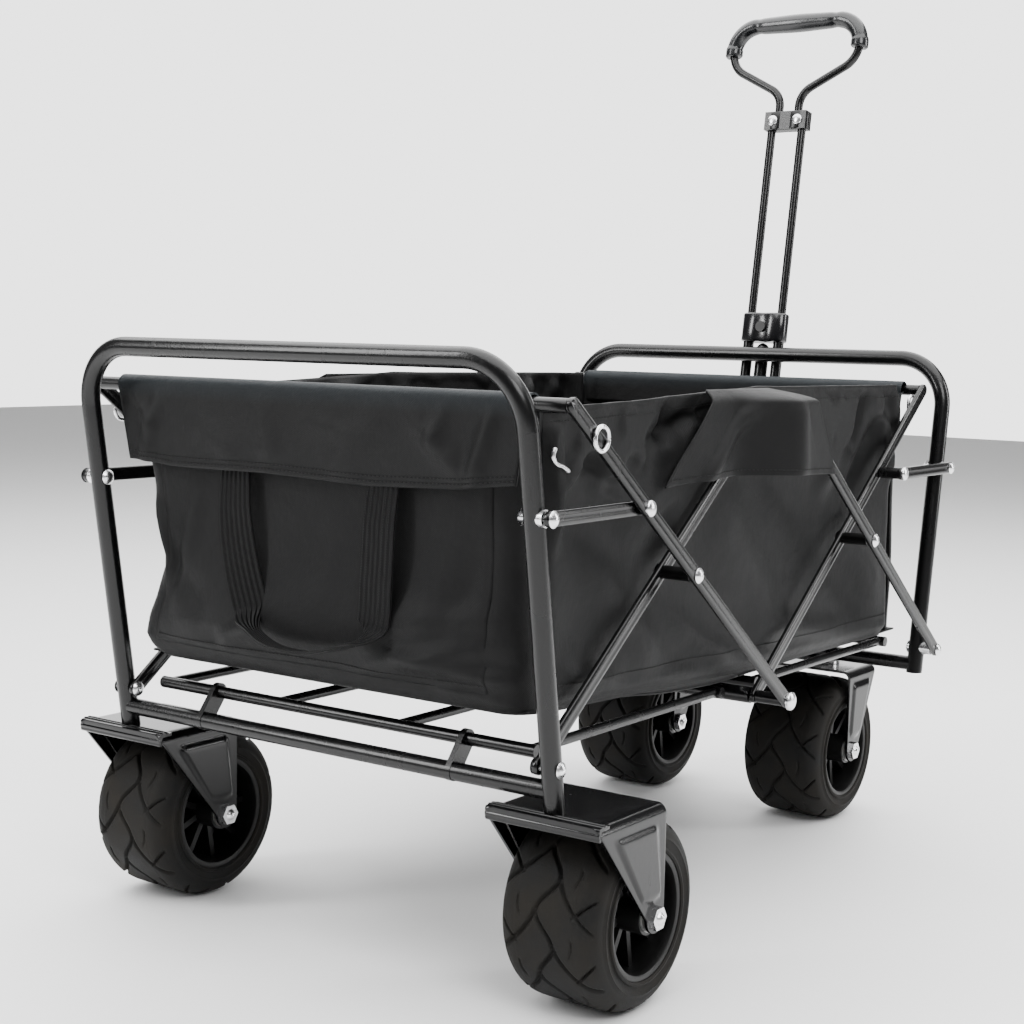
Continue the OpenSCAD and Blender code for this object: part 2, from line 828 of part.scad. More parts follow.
// Two lower tubes on a pivot foot, with the round-topped lock tube between them
module handle_lower_tubes() {
    foot_top = 13;
    foot_down = outer_tube_d / 2;
    foot_h = foot_top + foot_down;
    lock_d = 17;
    lock_down = 10;
    lock_top = collar_at - collar_h / 2 - lock_down;
    tube_top = collar_at + collar_h / 2 - collar_lid;
    bore_d = inner_tube_d + 4 * run_gap;
    color("#121212") placed() on_handle() difference() {
        union() {
            both_sides() translate([0, tube_y, 0]) cylinder(d = outer_tube_d, h = tube_top);
            translate([-outer_tube_d / 2, -tube_y, -foot_down])
                cube([outer_tube_d, handle_pitch, foot_h]);
            cylinder(d = lock_d, h = lock_top);
            translate([0, 0, lock_top]) sphere(d = lock_d);
            both_sides() translate([0, tube_y, -foot_down])
                cylinder(d = outer_tube_d, h = foot_h);
        }
        both_sides() translate([0, tube_y, foot_top]) cylinder(d = bore_d, h = tube_top);
        rod_y(pin_d + 2 * run_gap, -handle_pitch, handle_pitch);
    }
}

// The collar clamps the two lower tubes and guides the sliding ones
module handle_collar() {
    tube_top = collar_at + collar_h / 2 - collar_lid;
    color("#0e0e0e") placed() on_handle() difference() {
        translate([-collar_t / 2, -collar_w / 2, collar_at - collar_h / 2])
            cube([collar_t, collar_w, collar_h]);
        both_sides() translate([0, tube_y, collar_at - collar_h])
            cylinder(d = outer_tube_d, h = tube_top - collar_at + collar_h);
        both_sides() translate([0, tube_y, collar_at])
            cylinder(d = inner_tube_d + 4 * run_gap, h = collar_h);
        translate([-collar_t, 0, collar_at]) rotate([0, 90, 0])
            cylinder(d = button_d + 4 * run_gap, h = collar_t - collar_lid);
    }
}

// The push button on the collar that frees the slide
module release_button() {
    color("#2a2a2a") placed() on_handle()
        translate([-collar_t / 2 - button_out, 0, collar_at]) rotate([0, 90, 0])
            cylinder(d = button_d, h = button_out + collar_t / 2 - 2 * collar_lid);
}

// The two sliding tubes, held together by the upper bracket
module handle_slide_tubes() {
    low = collar_at - collar_h / 2 - slide_in;
    high = yoke_at - yoke_h / 2;
    yoke_t = 17;
    yoke_past = 8;
    color("#161616") placed() on_handle() {
        both_sides() translate([0, tube_y, low]) cylinder(d = inner_tube_d, h = high - low);
        translate([-yoke_t / 2, -tube_y - yoke_past, high])
            cube([yoke_t, handle_pitch + 2 * yoke_past, yoke_h]);
    }
}

// The loop's two legs, from the yoke out and up to where the grip starts. Straight
// runs are a touch thinner than the bends and reach a little way into them.
module loop_legs(d) {
    thin = d - bend_step;
    both_sides() {
        translate([0, loop_foot_y, 0]) cylinder(d = thin, h = loop_start + bend_lap);
        translate([0, loop_foot_y + loop_low_r, loop_start]) rotate([90, 0, 90])
            rotate([0, 0, 180 - loop_turn]) rotate_extrude(angle = loop_turn)
                translate([loop_low_r, 0]) circle(d = d);
        translate([0, loop_low_end[0], loop_start + loop_low_end[1]])
            rotate([-loop_turn, 0, 0]) translate([0, 0, -bend_lap])
                cylinder(d = thin, h = loop_run + 2 * bend_lap);
    }
}

// The loop's crown, which the grip covers from one turn to the other
module loop_crown(d, turn) {
    both_sides() translate([0, loop_top_y, loop_start + loop_mid_h]) rotate([90, 0, 90])
        rotate([0, 0, 90 - turn]) rotate_extrude(angle = turn)
            translate([loop_top_r, 0]) circle(d = d);
    translate([0, 0, loop_start + loop_mid_h + loop_top_r])
        rod_y(d - bend_step, -loop_top_y - bend_lap, loop_top_y + bend_lap);
}

module on_yoke() {
    on_handle() translate([0, 0, yoke_at + yoke_h / 2]) children();
}

module handle_loop() color("#101010") placed() on_yoke() {
    loop_legs(loop_tube_d);
    loop_crown(loop_tube_d, 90 + loop_turn);
}

module handle_grip() color("#222222") placed() on_yoke() difference() {
    loop_crown(grip_d, grip_turn);
    loop_crown(loop_tube_d, 90 + loop_turn);
}

rear_end_frame();
rear_cross_tube();
rear_left_fork();
rear_right_fork();
rear_axles();
rear_frame_bolts();
bag_rear_panel();
rear_pouch();
webbing_handle();
rear_left_tyre();
rear_left_rim();
rear_left_bushes();
rear_right_tyre();
rear_right_rim();
rear_right_bushes();
front_left_tyre();
front_left_rim();
front_left_bushes();
front_right_tyre();
front_right_rim();
front_right_bushes();
rear_left_inner_link();
rear_right_inner_link();
rear_link_pins();
rear_left_outer_link();
rear_right_outer_link();
rear_rim_bar();
front_left_inner_link();
front_right_inner_link();
front_link_pins();
front_rim_bar();
front_left_outer_link();
front_right_outer_link();
bottom_cross_tube();
rear_left_arm();
rear_right_arm();
front_left_arm();
front_right_arm();
rear_floor_frame();
front_floor_frame();
bag_base_rear();
bag_base_front();
bag_left_panel();
bag_right_panel();
front_end_frame();
front_cross_tube();
front_frame_bolts();
caster_swivel_pins();
bag_front_panel();
front_left_fork();
front_left_axle();
front_right_fork();
front_right_axle();
handle_bracket();
handle_lower_tubes();
handle_collar();
release_button();
handle_slide_tubes();
handle_loop();
handle_grip();
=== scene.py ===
"""Looks of a folding beach wagon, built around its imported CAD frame.

Lengths are in metres. Places on the cart are worked out from the joints and the
nodes' boxes, and helpers named in_mm take cart millimetres measured from the low
middle pivot, which stands halfway between the two end frames.
"""
import json
import math
import bmesh
import bpy
import numpy as np
from mathutils import Matrix, Vector


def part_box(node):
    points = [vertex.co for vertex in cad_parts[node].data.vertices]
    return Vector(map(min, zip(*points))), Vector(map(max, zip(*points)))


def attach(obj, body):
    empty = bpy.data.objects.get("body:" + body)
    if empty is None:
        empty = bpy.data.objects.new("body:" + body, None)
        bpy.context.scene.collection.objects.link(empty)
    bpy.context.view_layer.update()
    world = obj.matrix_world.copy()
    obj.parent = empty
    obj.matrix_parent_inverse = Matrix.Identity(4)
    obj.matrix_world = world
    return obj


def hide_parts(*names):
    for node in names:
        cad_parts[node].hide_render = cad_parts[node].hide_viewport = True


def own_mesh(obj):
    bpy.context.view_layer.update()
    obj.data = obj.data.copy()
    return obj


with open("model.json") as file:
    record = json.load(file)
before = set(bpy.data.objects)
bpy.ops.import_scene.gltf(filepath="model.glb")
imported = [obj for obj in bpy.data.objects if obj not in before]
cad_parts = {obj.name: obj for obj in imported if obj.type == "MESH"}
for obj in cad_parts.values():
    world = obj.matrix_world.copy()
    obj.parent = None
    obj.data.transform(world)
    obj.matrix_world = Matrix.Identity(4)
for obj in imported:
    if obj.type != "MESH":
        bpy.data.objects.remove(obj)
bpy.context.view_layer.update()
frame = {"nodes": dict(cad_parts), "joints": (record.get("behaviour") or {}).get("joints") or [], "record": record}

MM = 0.001
PIVOT = {j["name"]: np.array(j["pos_m"]) for j in frame["joints"] if j.get("pos_m")}
MID_X = PIVOT["low_middle_pivot"][0]
LEAN = math.radians(9)


def in_mm(x, y, z):
    """A world point, or arrays of them, from cart millimetres."""
    x, y, z = np.broadcast_arrays(np.asarray(x, float), y, z)
    return np.stack([x * MM + MID_X, y * MM, z * MM], -1)


def box_mm(node):
    """A node's low and high corners in cart millimetres."""
    low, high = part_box(node)
    shift = np.array([MID_X, 0, 0])
    return (np.array(low) - shift) / MM, (np.array(high) - shift) / MM


def pivot_mm(name):
    """A joint's place in cart millimetres."""
    return (PIVOT[name] - np.array([MID_X, 0, 0])) / MM


# ---- shader kit ----

class Value:
    """One output socket of a material; arithmetic on it adds Math nodes."""

    def __init__(self, finish, socket):
        self.finish, self.socket = finish, socket

    def math(self, operation, *others):
        """A Math node fed with this value and the others, in order."""
        inputs = {i: v for i, v in enumerate((self,) + others)}
        return self.finish.add("ShaderNodeMath", {"operation": operation}, inputs)

    def __add__(self, other):
        return self.math("ADD", other)

    def __sub__(self, other):
        return self.math("SUBTRACT", other)

    def __mul__(self, other):
        return self.math("MULTIPLY", other)

    def __truediv__(self, other):
        return self.math("DIVIDE", other)

    def __rsub__(self, other):
        return self.finish.add("ShaderNodeMath", {"operation": "SUBTRACT"}, {0: other, 1: self})

    __radd__ = __add__
    __rmul__ = __mul__


class Finish:
    """A material: its shader's fixed settings, and the nodes that vary over a surface."""

    def __init__(self, name, color, roughness, **fixed):
        self.data = bpy.data.materials.new(name)
        self.data.use_nodes = True
        self.tree = self.data.node_tree
        self.shader = self.tree.nodes["Principled BSDF"]
        self.set("Base Color", (*color, 1))
        self.set("Roughness", roughness)
        for socket, value in fixed.items():
            self.set(socket.replace("_", " "), value)
        self.data.diffuse_color = (*color, 1)

    def feed(self, socket, value):
        """Links a Value to a socket, or sets the socket to a constant."""
        if isinstance(value, Value):
            self.tree.links.new(value.socket, socket)
        else:
            socket.default_value = value

    def set(self, socket, value):
        """Feeds one of the shader's own sockets."""
        self.feed(self.shader.inputs[socket], value)

    def add(self, kind, settings=None, inputs=None, out=0):
        """A node of any kind: its settings first, then its sockets' values or links."""
        node = self.tree.nodes.new(kind)
        for key, value in (settings or {}).items():
            if key == "stops":
                for stop, (place, shade) in zip(node.color_ramp.elements, value):
                    stop.position, stop.color = place, (shade, shade, shade, 1)
            else:
                setattr(node, key, value)
        for key, value in (inputs or {}).items():
            self.feed(node.inputs[key], value)
        return Value(self, node.outputs[out])

    def place(self):
        """Where on the object, in metres."""
        return self.add("ShaderNodeTexCoord", out="Object")

    def cloth_place(self):
        """Where on the flat cloth, in metres."""
        return self.add("ShaderNodeTexCoord", out="UV")

    def stretched(self, place, scale):
        """A place scaled by a different amount along each axis."""
        return self.add("ShaderNodeMapping", None, {"Vector": place, "Scale": scale})

    def noise(self, place, scale, detail=3.0, rough=0.5):
        """Cloudy noise, with scale patches to the metre."""
        return self.add("ShaderNodeTexNoise", None,
                        {"Vector": place, "Scale": scale, "Detail": detail, "Roughness": rough})

    def ramp(self, value, low, high):
        """0 below low, 1 above high, straight between."""
        return self.add("ShaderNodeMapRange", None,
                        {0: value, 1: low, 2: high, 3: 0.0, 4: 1.0})

    def axis(self, place, letter):
        """One coordinate of a place."""
        return self.add("ShaderNodeSeparateXYZ", None, {0: place}, out=letter)

    def blend(self, share, a, b):
        """Colour a where share is 0 and b where it is 1."""
        colour = [v if isinstance(v, Value) else (*v, 1) for v in (a, b)]
        return self.add("ShaderNodeMix", {"data_type": "RGBA"},
                        {0: share, 6: colour[0], 7: colour[1]}, out=2)

    def emboss(self, height, distance, strength=1.0):
        """Bumps the surface by height times distance."""
        self.set("Normal", self.add("ShaderNodeBump", None, {
            "Height": height, "Distance": distance, "Strength": strength}))


def coated_steel(name, color, roughness, peel, dust):
    """Powder coat: fine orange peel, patchy gloss, and a little pale dust."""
    m = Finish(name, color, roughness, Specular_IOR_Level=0.3, Coat_Weight=0.12,
               Coat_Roughness=0.1)
    place = m.place()
    patch = m.noise(place, 9.0, 4.0)
    specks = m.ramp(m.noise(place, 260.0, 2.0), 0.62, 0.72)
    scuff = m.ramp(m.noise(m.stretched(place, (1, 1, 0.15)), 90.0, 3.0), 0.6, 0.75)
    pale = tuple(c + 0.005 for c in color)
    m.set("Base Color", m.blend((patch * 0.35 + specks * 0.5) * dust, color, pale))
    m.set("Roughness", roughness + patch * 0.12 + scuff * 0.1 - 0.06)
    m.emboss(m.noise(place, 420.0, 2.0) + scuff * 0.2, peel)
    return m.data


def bright_plate(name, color, roughness):
    """Plated steel: faint turning marks and dull spots."""
    m = Finish(name, color, roughness, Metallic=1.0)
    place = m.place()
    marks = m.noise(m.stretched(place, (900, 40, 900)), 1.0, 2.0)
    dull = m.ramp(m.noise(place, 70.0, 4.0), 0.5, 0.75)
    m.set("Base Color", m.blend(dull * 0.5, color, tuple(c * 0.72 for c in color)))
    m.set("Roughness", roughness + dull * 0.15 + marks * 0.08)
    m.emboss(marks, 0.00005, 0.5)
    return m.data


HEADS_FROM = 0.284


def link_pins():
    """Bright rivet heads at the links' outer faces, dull dark steel further in."""
    m = Finish("link_pin_steel", (0.86, 0.86, 0.87), 0.2, Metallic=1.0)
    place = m.place()
    head = m.ramp(m.axis(place, "Y").math("ABSOLUTE"), HEADS_FROM - 0.0002, HEADS_FROM + 0.0002)
    dull = m.ramp(m.noise(place, 70.0, 4.0), 0.5, 0.75)
    bright = m.blend(dull * 0.5, (0.86, 0.86, 0.87), (0.6, 0.6, 0.61))
    m.set("Base Color", m.blend(head, (0.012, 0.012, 0.012), bright))
    m.set("Roughness", 0.45 - head * 0.22 + dull * 0.12)
    m.emboss(m.noise(place, 500.0, 2.0), 0.00003)
    return m.data


def tyre_rubber():
    """Matte rubber with browner patches of dust."""
    m = Finish("tyre_rubber", (0.012, 0.011, 0.01), 0.7, Specular_IOR_Level=0.2)
    place = m.place()
    dust = m.ramp(m.noise(place, 16.0, 6.0, 0.65), 0.38, 0.7)
    grain = m.noise(place, 700.0, 3.0)
    m.set("Base Color", m.blend(dust * 0.8, (0.0028, 0.0028, 0.0027), (0.015, 0.0128, 0.0098)))
    m.set("Roughness", 0.58 + dust * 0.2 + grain * 0.08)
    m.emboss(grain * 0.6 + m.noise(place, 60.0, 4.0) * 0.8, 0.0004)
    return m.data


def moulded(name, color, roughness, grain_size, depth, **fixed):
    """Moulded plastic or rubber: leather-like grain and slightly uneven gloss."""
    m = Finish(name, color, roughness, **fixed)
    place = m.place()
    cells = m.add("ShaderNodeTexVoronoi", {"feature": "F1"}, {"Vector": place, "Scale": grain_size})
    patch = m.noise(place, 22.0, 4.0)
    m.set("Base Color", m.blend(patch, color, tuple(c * 1.5 + 0.002 for c in color)))
    m.set("Roughness", roughness + patch * 0.14 - 0.07)
    m.emboss(cells * 0.7 + m.noise(place, grain_size * 2, 2.0) * 0.3, depth)
    return m.data


def woven(name, dark, light, sheen, pitch, ribs=0.0, gloss=0.16, painted_top_sheen=None):
    """Coated plain weave on the cloth's own metres: two thread waves that trade
    places, slubs along the threads, and broad shade from handling. The last
    argument, if given, is a painted highlight: a bluish colour blended in from
    0.53 to 0.549 m high, where the roll over the rim bar catches the light."""
    m = Finish(name, dark, 0.6, Specular_IOR_Level=gloss, Sheen_Weight=sheen,
               Sheen_Roughness=0.45, Sheen_Tint=(0.62, 0.7, 0.8, 1))
    cloth = m.cloth_place()
    across = m.axis(cloth, "X") * (2 * math.pi / pitch)
    along = m.axis(cloth, "Y") * (2 * math.pi / pitch)
    over = across.math("SINE")
    under = along.math("SINE")
    threads = over * under * 0.5 + (over * over + under * under) * 0.25
    slub = m.noise(m.stretched(cloth, (500, 60, 1)), 1.0, 3.0)
    place = m.place()
    patch = m.ramp(m.noise(place, 7.0, 6.0, 0.6), 0.3, 0.75)
    crush = m.noise(place, 38.0, 5.0, 0.62)
    shade = m.blend(patch * 0.55 + slub * 0.35 + threads * 0.12, dark, light)
    # painted highlight: above 0.53 m the colour blends into a bluish painted sheen along the roll over the rim bar
    if painted_top_sheen:
        shade = m.blend(m.ramp(m.axis(place, "Z"), 0.53, 0.549), shade, painted_top_sheen)
    m.set("Base Color", shade)
    m.set("Roughness", 0.43 + patch * 0.16 + threads * 0.08)
    height = threads * 0.12 + slub * 0.05 + crush * 0.9
    if ribs:
        height = height + (m.axis(cloth, "Y") * (2 * math.pi / ribs)).math("SINE") * 0.5
    m.emboss(height, 0.0016)
    return m.data


BLACK_PAINT = (0.0015, 0.0015, 0.0017)
finishes = {
    "frame_paint": coated_steel("frame_paint", BLACK_PAINT, 0.27, 0.00012, 0.8),
    "link_paint": coated_steel("link_paint", (0.0018, 0.0018, 0.002), 0.24, 0.0001, 0.9),
    "fork_paint": coated_steel("fork_paint", (0.0015, 0.0015, 0.0018), 0.17, 0.00008, 0.7),
    "pin_chrome": bright_plate("pin_chrome", (0.86, 0.86, 0.87), 0.2),
    "link_pins": link_pins(),
    "tyre_rubber": tyre_rubber(),
    "rim_plastic": moulded("rim_plastic", (0.003, 0.003, 0.003), 0.4, 900, 0.00012,
                           Specular_IOR_Level=0.3),
    "bush_steel": bright_plate("bush_steel", (0.5, 0.5, 0.49), 0.35),
    "bag_cloth": woven("bag_cloth", (0.0016, 0.0016, 0.0017), (0.0055, 0.0055, 0.0057),
                       0.0, 0.0018),
    # hem_cloth: the bluish colour at the end of the next line is a painted highlight along the top of the roll
    # over the rim bars
    "hem_cloth": woven("hem_cloth", (0.0017, 0.0017, 0.0018), (0.0058, 0.0058, 0.006), 0.0, 0.0018,
                       gloss=0.18, painted_top_sheen=(0.011, 0.0145, 0.017)),
    "webbing": woven("webbing", (0.0014, 0.0014, 0.0015), (0.0045, 0.0045, 0.0046),
                     0.0, 0.0024, 0.0045),
    "stitch_thread": woven("stitch_thread", (0.008, 0.008, 0.008), (0.02, 0.02, 0.02), 0.0, 0.0006),
    "collar_plastic": moulded("collar_plastic", (0.003, 0.003, 0.0038), 0.18, 1400, 0.00004,
                              Coat_Weight=0.3, Coat_Roughness=0.1),
    "button_plastic": moulded("button_plastic", (0.006, 0.006, 0.006), 0.45, 800, 0.0001),
    "grip_rubber": moulded("grip_rubber", (0.003, 0.0034, 0.0042), 0.24, 1100, 0.00006,
                           Coat_Weight=0.2, Coat_Roughness=0.2),
}

# ---- mesh kit ----

def grid_mesh(name, points, wrap_rows=False, wrap_cols=False, cap=False):
    """Quads between neighbours of a rows-by-columns grid of points. A wrapped side
    joins its last line to its first, and a cap closes the first and last rows. The
    UV map is the cloth's own length in metres: row steps and column steps added up."""
    rows, cols = points.shape[:2]
    index = np.arange(rows * cols).reshape(rows, cols)
    full = np.vstack([index, index[:1]]) if wrap_rows else index
    full = np.hstack([full, full[:, :1]]) if wrap_cols else full
    where = points.reshape(-1, 3)[full]
    run = np.linalg.norm(np.diff(where, axis=0), axis=2).mean(1)
    rise = np.linalg.norm(np.diff(where, axis=1), axis=2).mean(0)
    u, v = np.meshgrid(np.append(0, run.cumsum()), np.append(0, rise.cumsum()), indexing="ij")
    uv = np.stack([u, v], -1)
    corners = [(slice(None, -1), slice(None, -1)), (slice(1, None), slice(None, -1)),
               (slice(1, None), slice(1, None)), (slice(None, -1), slice(1, None))]
    quads = np.stack([full[c] for c in corners], -1).reshape(-1, 4)
    loops = np.stack([uv[c] for c in corners], -2).reshape(-1, 2)
    faces = quads.tolist()
    if cap:
        faces += [index[0].tolist(), index[-1][::-1].tolist()]
        loops = np.vstack([loops, np.zeros((2 * cols, 2))])
    mesh = bpy.data.meshes.new(name)
    mesh.from_pydata(points.reshape(-1, 3).tolist(), [], faces)
    mesh.uv_layers.new(name="cloth").data.foreach_set("uv", loops.ravel())
    mesh.polygons.foreach_set("use_smooth", np.ones(len(faces), bool))
    if cap or (wrap_rows and wrap_cols):
        bm = bmesh.new()
        bm.from_mesh(mesh)
        bmesh.ops.recalc_face_normals(bm, faces=bm.faces)
        bm.to_mesh(mesh)
        bm.free()
    return mesh


def bar_mesh(name, points):
    """A grid closed into a tube along its columns, with both ends capped."""
    return grid_mesh(name, points, wrap_cols=True, cap=True)


def piece(name, mesh, finish, body, replaces=(), wall=0.0, bevel=0.0, crisp=40):
    """Puts a mesh in the scene with its finish, body and slot; a wall makes a sheet
    thick about its middle, and a bevel softens edges sharper than crisp degrees."""
    obj = bpy.data.objects.new(name, mesh)
    bpy.context.scene.collection.objects.link(obj)
    mesh.materials.append(finishes[finish])
    mesh.set_sharp_from_angle(angle=math.radians(crisp))
    if wall:
        thick = obj.modifiers.new("wall", "SOLIDIFY")
        thick.thickness, thick.offset = wall, 0
    if bevel:
        soft = obj.modifiers.new("soft_edges", "BEVEL")
        soft.width, soft.segments = bevel, 2
        soft.limit_method, soft.angle_limit = "ANGLE", math.radians(crisp)
        soft.harden_normals = False
    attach(obj, body)
    if replaces:
        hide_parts(*([replaces] if isinstance(replaces, str) else replaces))
    return obj


def unit(v):
    """Vectors divided by their lengths."""
    return v / np.linalg.norm(v, axis=-1, keepdims=True)


def sweep(path, level, profile):
    """A profile carried along a path: each point is the path point plus the profile's
    first number along the side direction (tangent cross level) and its second along
    level, which is square to a path that lies in one plane."""
    tangent = unit(np.gradient(path, axis=0))
    side = unit(np.cross(tangent, level))
    profile = np.broadcast_to(profile, (len(path),) + profile.shape[-2:])
    return (path[:, None] + profile[..., :1] * side[:, None]
            + profile[..., 1:] * np.asarray(level)[None, None])


def circle(radius, n=24):
    """Profile points on a circle; radius may be an array, one circle for each."""
    a = np.linspace(0, 2 * math.pi, n, endpoint=False)
    ring = np.stack([np.cos(a), np.sin(a)], -1)
    return np.asarray(radius)[..., None, None] * ring


def smooth_path(points, n):
    """A Catmull-Rom curve through the points, at n even steps of its parameter."""
    p = np.vstack([2 * points[:1] - points[1:2], points, 2 * points[-1:] - points[-2:-1]])
    s = np.linspace(0, len(points) - 1 - 1e-9, n)
    i, t = s.astype(int), (s % 1)[:, None]
    a, b, c, d = (p[i + k] for k in range(4))
    return 0.5 * (2 * b + (c - a) * t + (2 * a - 5 * b + 4 * c - d) * t ** 2
                  + (3 * b - 3 * c + d - a) * t ** 3)


def fade(x, low, high):
    """0 below low, 1 above high, with level ends between."""
    t = np.clip((x - low) / (high - low), 0, 1)
    return t * t * (3 - 2 * t)


def turned(name, radius, along, centre, n, shape=None):
    """A profile turned about the Y axis: radius and along are the profile in mm, and
    shape(angle, radius, along) may change both before they are placed."""
    angle = np.linspace(0, 2 * math.pi, n, endpoint=False)[:, None]
    r, y = np.broadcast_to(radius, (n, len(radius))), np.broadcast_to(along, (n, len(radius)))
    if shape:
        r, y = shape(angle, r, y)
    x, z = r * np.cos(angle), r * np.sin(angle)
    return grid_mesh(name, in_mm(x + centre[0], y + centre[1], z + centre[2]),
                     wrap_rows=True, wrap_cols=True)


# ---- wheels ----

TREAD_REPEATS = 9
GROOVE_DEEP = 3.4


def tyre_profile(radius, half, bore):
    """Tyre section in mm, once round: bead, bulged wall with a rim guard and a raised
    line, wide round shoulder, nearly flat crown, and the same back to the bore."""
    side = np.array([[bore, half - 7], [bore, half - 1.5], [bore + 2, half + 0.4],
                     [bore + 4.2, half - 0.2], [bore + 5.2, half - 2.2], [bore + 8, half - 1.2],
                     [bore + 11, half - 0.4], [bore + 12.2, half + 0.3], [bore + 13.4, half - 0.6]])
    turn = np.radians(np.linspace(4, 90, 22))
    shoulder = np.stack([radius - 17 + 16.6 * np.sin(turn), half - 22 + 20.5 * np.cos(turn)], -1)
    crown = np.linspace(half - 22, 0, 26)[1:]
    top = np.stack([radius - 0.4 + 0.4 * (1 - (crown / half) ** 2), crown], -1)
    one = np.vstack([side, shoulder, top])
    other = one[::-1][1:] * [1, -1]
    bed = np.stack([np.full(10, bore), np.linspace(7 - half, half - 7, 12)[1:-1]], -1)
    return np.vstack([one, other, bed])


def cut_tread(radius):
    """Depth of the tread's grooves: a wave along the crown's middle, and on each side
    a row of leaves, wide at one end and closing to a point at the other."""
    def shape(angle, r, y):
        """Sinks the profile by the deepest groove that passes each point."""
        turn = angle * TREAD_REPEATS / (2 * math.pi)
        crown = fade(r, radius - 9, radius - 4)
        phase = 2 * math.pi * turn
        wave = np.abs(y - 9.0 * np.sin(phase)) / (1 + 0.5 * np.abs(np.cos(phase)))
        deep = np.exp(-(wave / 1.5) ** 4)
        for side, lag in ((1, 0.0), (-1, 0.5)):
            p = (turn + lag) % 1
            long = side * (10 + 40 * np.clip((p - 0.22) / 0.78, 0, 1) ** 1.5)
            wide = 1.5 * (1 + 0.9 * np.clip(p, 0, 1))
            deep = np.maximum(deep, np.exp(-(np.abs(y - long) / wide) ** 4) * fade(p, 0.2, 0.26))
            short = side * (49 - 21 * np.clip((p - 0.42) / 0.36, 0, 1))
            deep = np.maximum(deep, np.exp(-(np.abs(y - short) / 1.6) ** 4)
                              * fade(p, 0.40, 0.43) * (1 - fade(p, 0.74, 0.78)))
            lobe = side * (24 + 5 * np.sin(2 * math.pi * (p + 0.1)))
            deep = np.maximum(deep, 0.45 * np.exp(-(np.abs(y - lobe) / 1.1) ** 4)
                              * fade(p, 0.02, 0.1) * (1 - fade(p, 0.3, 0.4)))
        return r - GROOVE_DEEP * deep * crown, y
    return shape


def make_wheel(end, side):
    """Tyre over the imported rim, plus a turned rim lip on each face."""
    wheel = f"{end}_{side}"
    low, high = box_mm(f"{wheel}_tyre")
    centre, half, radius = (low + high) / 2, (high[1] - low[1]) / 2, (high[2] - low[2]) / 2
    bore = box_mm(f"{wheel}_rim")[1][2] - centre[2]
    profile = tyre_profile(radius, half, bore)
    fine = smooth_path(profile, 150)
    piece(f"{wheel}_tread_tyre",
          turned(f"{wheel}_tread_tyre", fine[:, 0], fine[:, 1], centre, 420,
                 cut_tread(radius)),
          "tyre_rubber", f"{wheel}_wheel", f"{wheel}_tyre")
    for face, sign in (("outer", 1), ("inner", -1)):
        lip = np.array([[bore - 5, 42], [bore - 5.4, 47], [bore - 4.6, 50.4], [bore - 2.2, 51.6],
                        [bore + 0.4, 51.2], [bore + 0.9, 49.6], [bore - 1.2, 48.6],
                        [bore - 2.4, 46], [bore - 2.6, 42]]) * [1, sign]
        piece(f"{wheel}_{face}_rim_lip",
              turned(f"{wheel}_{face}_rim_lip", lip[:, 0], lip[:, 1], centre, 120),
              "rim_plastic", f"{wheel}_wheel")


# ---- forks ----

def fork_sheet(node, axle, wall, corner, eye, lip):
    """Middle surface of a pressed fork: a path up one arm, over the plate and down the
    other, and across it the sheet's width, which tapers down the arms to a round eye.
    A raised tongue stands out from each arm."""
    low, high = box_mm(node)
    half = (high[1] - low[1] - wall) / 2
    middle_y, top = (high[1] + low[1]) / 2, high[2] - wall / 2
    arm = np.concatenate([axle[2] - eye * np.cos(np.linspace(0.04, math.pi / 2, 12)),
                          np.linspace(axle[2], top - corner, 44)[1:]])
    bend = np.linspace(0, math.pi / 2, 10)[1:]
    plate = np.linspace(corner - half, half - corner, 24)[1:-1]
    y = np.concatenate([np.full(len(arm), -half), corner - half - corner * np.cos(bend), plate,
                        half - corner + corner * np.cos(bend[::-1]), np.full(len(arm), half)])
    z = np.concatenate([arm, top - corner + corner * np.sin(bend), np.full(len(plate), top),
                        top - corner + corner * np.sin(bend[::-1]), arm[::-1]])
    share = np.clip((z - axle[2]) / (top - lip - axle[2]), 0, 1)
    round_half = np.sqrt(np.clip(eye ** 2 - np.clip(axle[2] - z, 0, eye) ** 2, 0.04, None))
    x_low = axle[0] - round_half + share * (low[0] - axle[0] + eye)
    x_high = axle[0] + round_half + share * (high[0] - axle[0] - eye)
    t = np.linspace(0, 1, 40)
    x = x_low[:, None] + (x_high - x_low)[:, None] * t
    across = np.abs(t * 2 - 1)[None, :]
    tongue = (fade(0.74 - across, 0, 0.16) * fade(z, axle[2] + eye - 2, axle[2] + eye + 10)[:, None]
              * (1 - fade(z, top - corner - 14, top - corner - 4))[:, None])
    tip = np.abs(t * 2 - 1)[None, :] * 12
    tongue = tongue * fade(z[:, None] - tip, axle[2] + eye - 6, axle[2] + eye + 4)
    out = np.where(y < 0, -1, 1)[:, None] * (np.abs(y) > half - 0.01)[:, None]
    return in_mm(x, middle_y + y[:, None] + 2.4 * tongue * out, z[:, None])


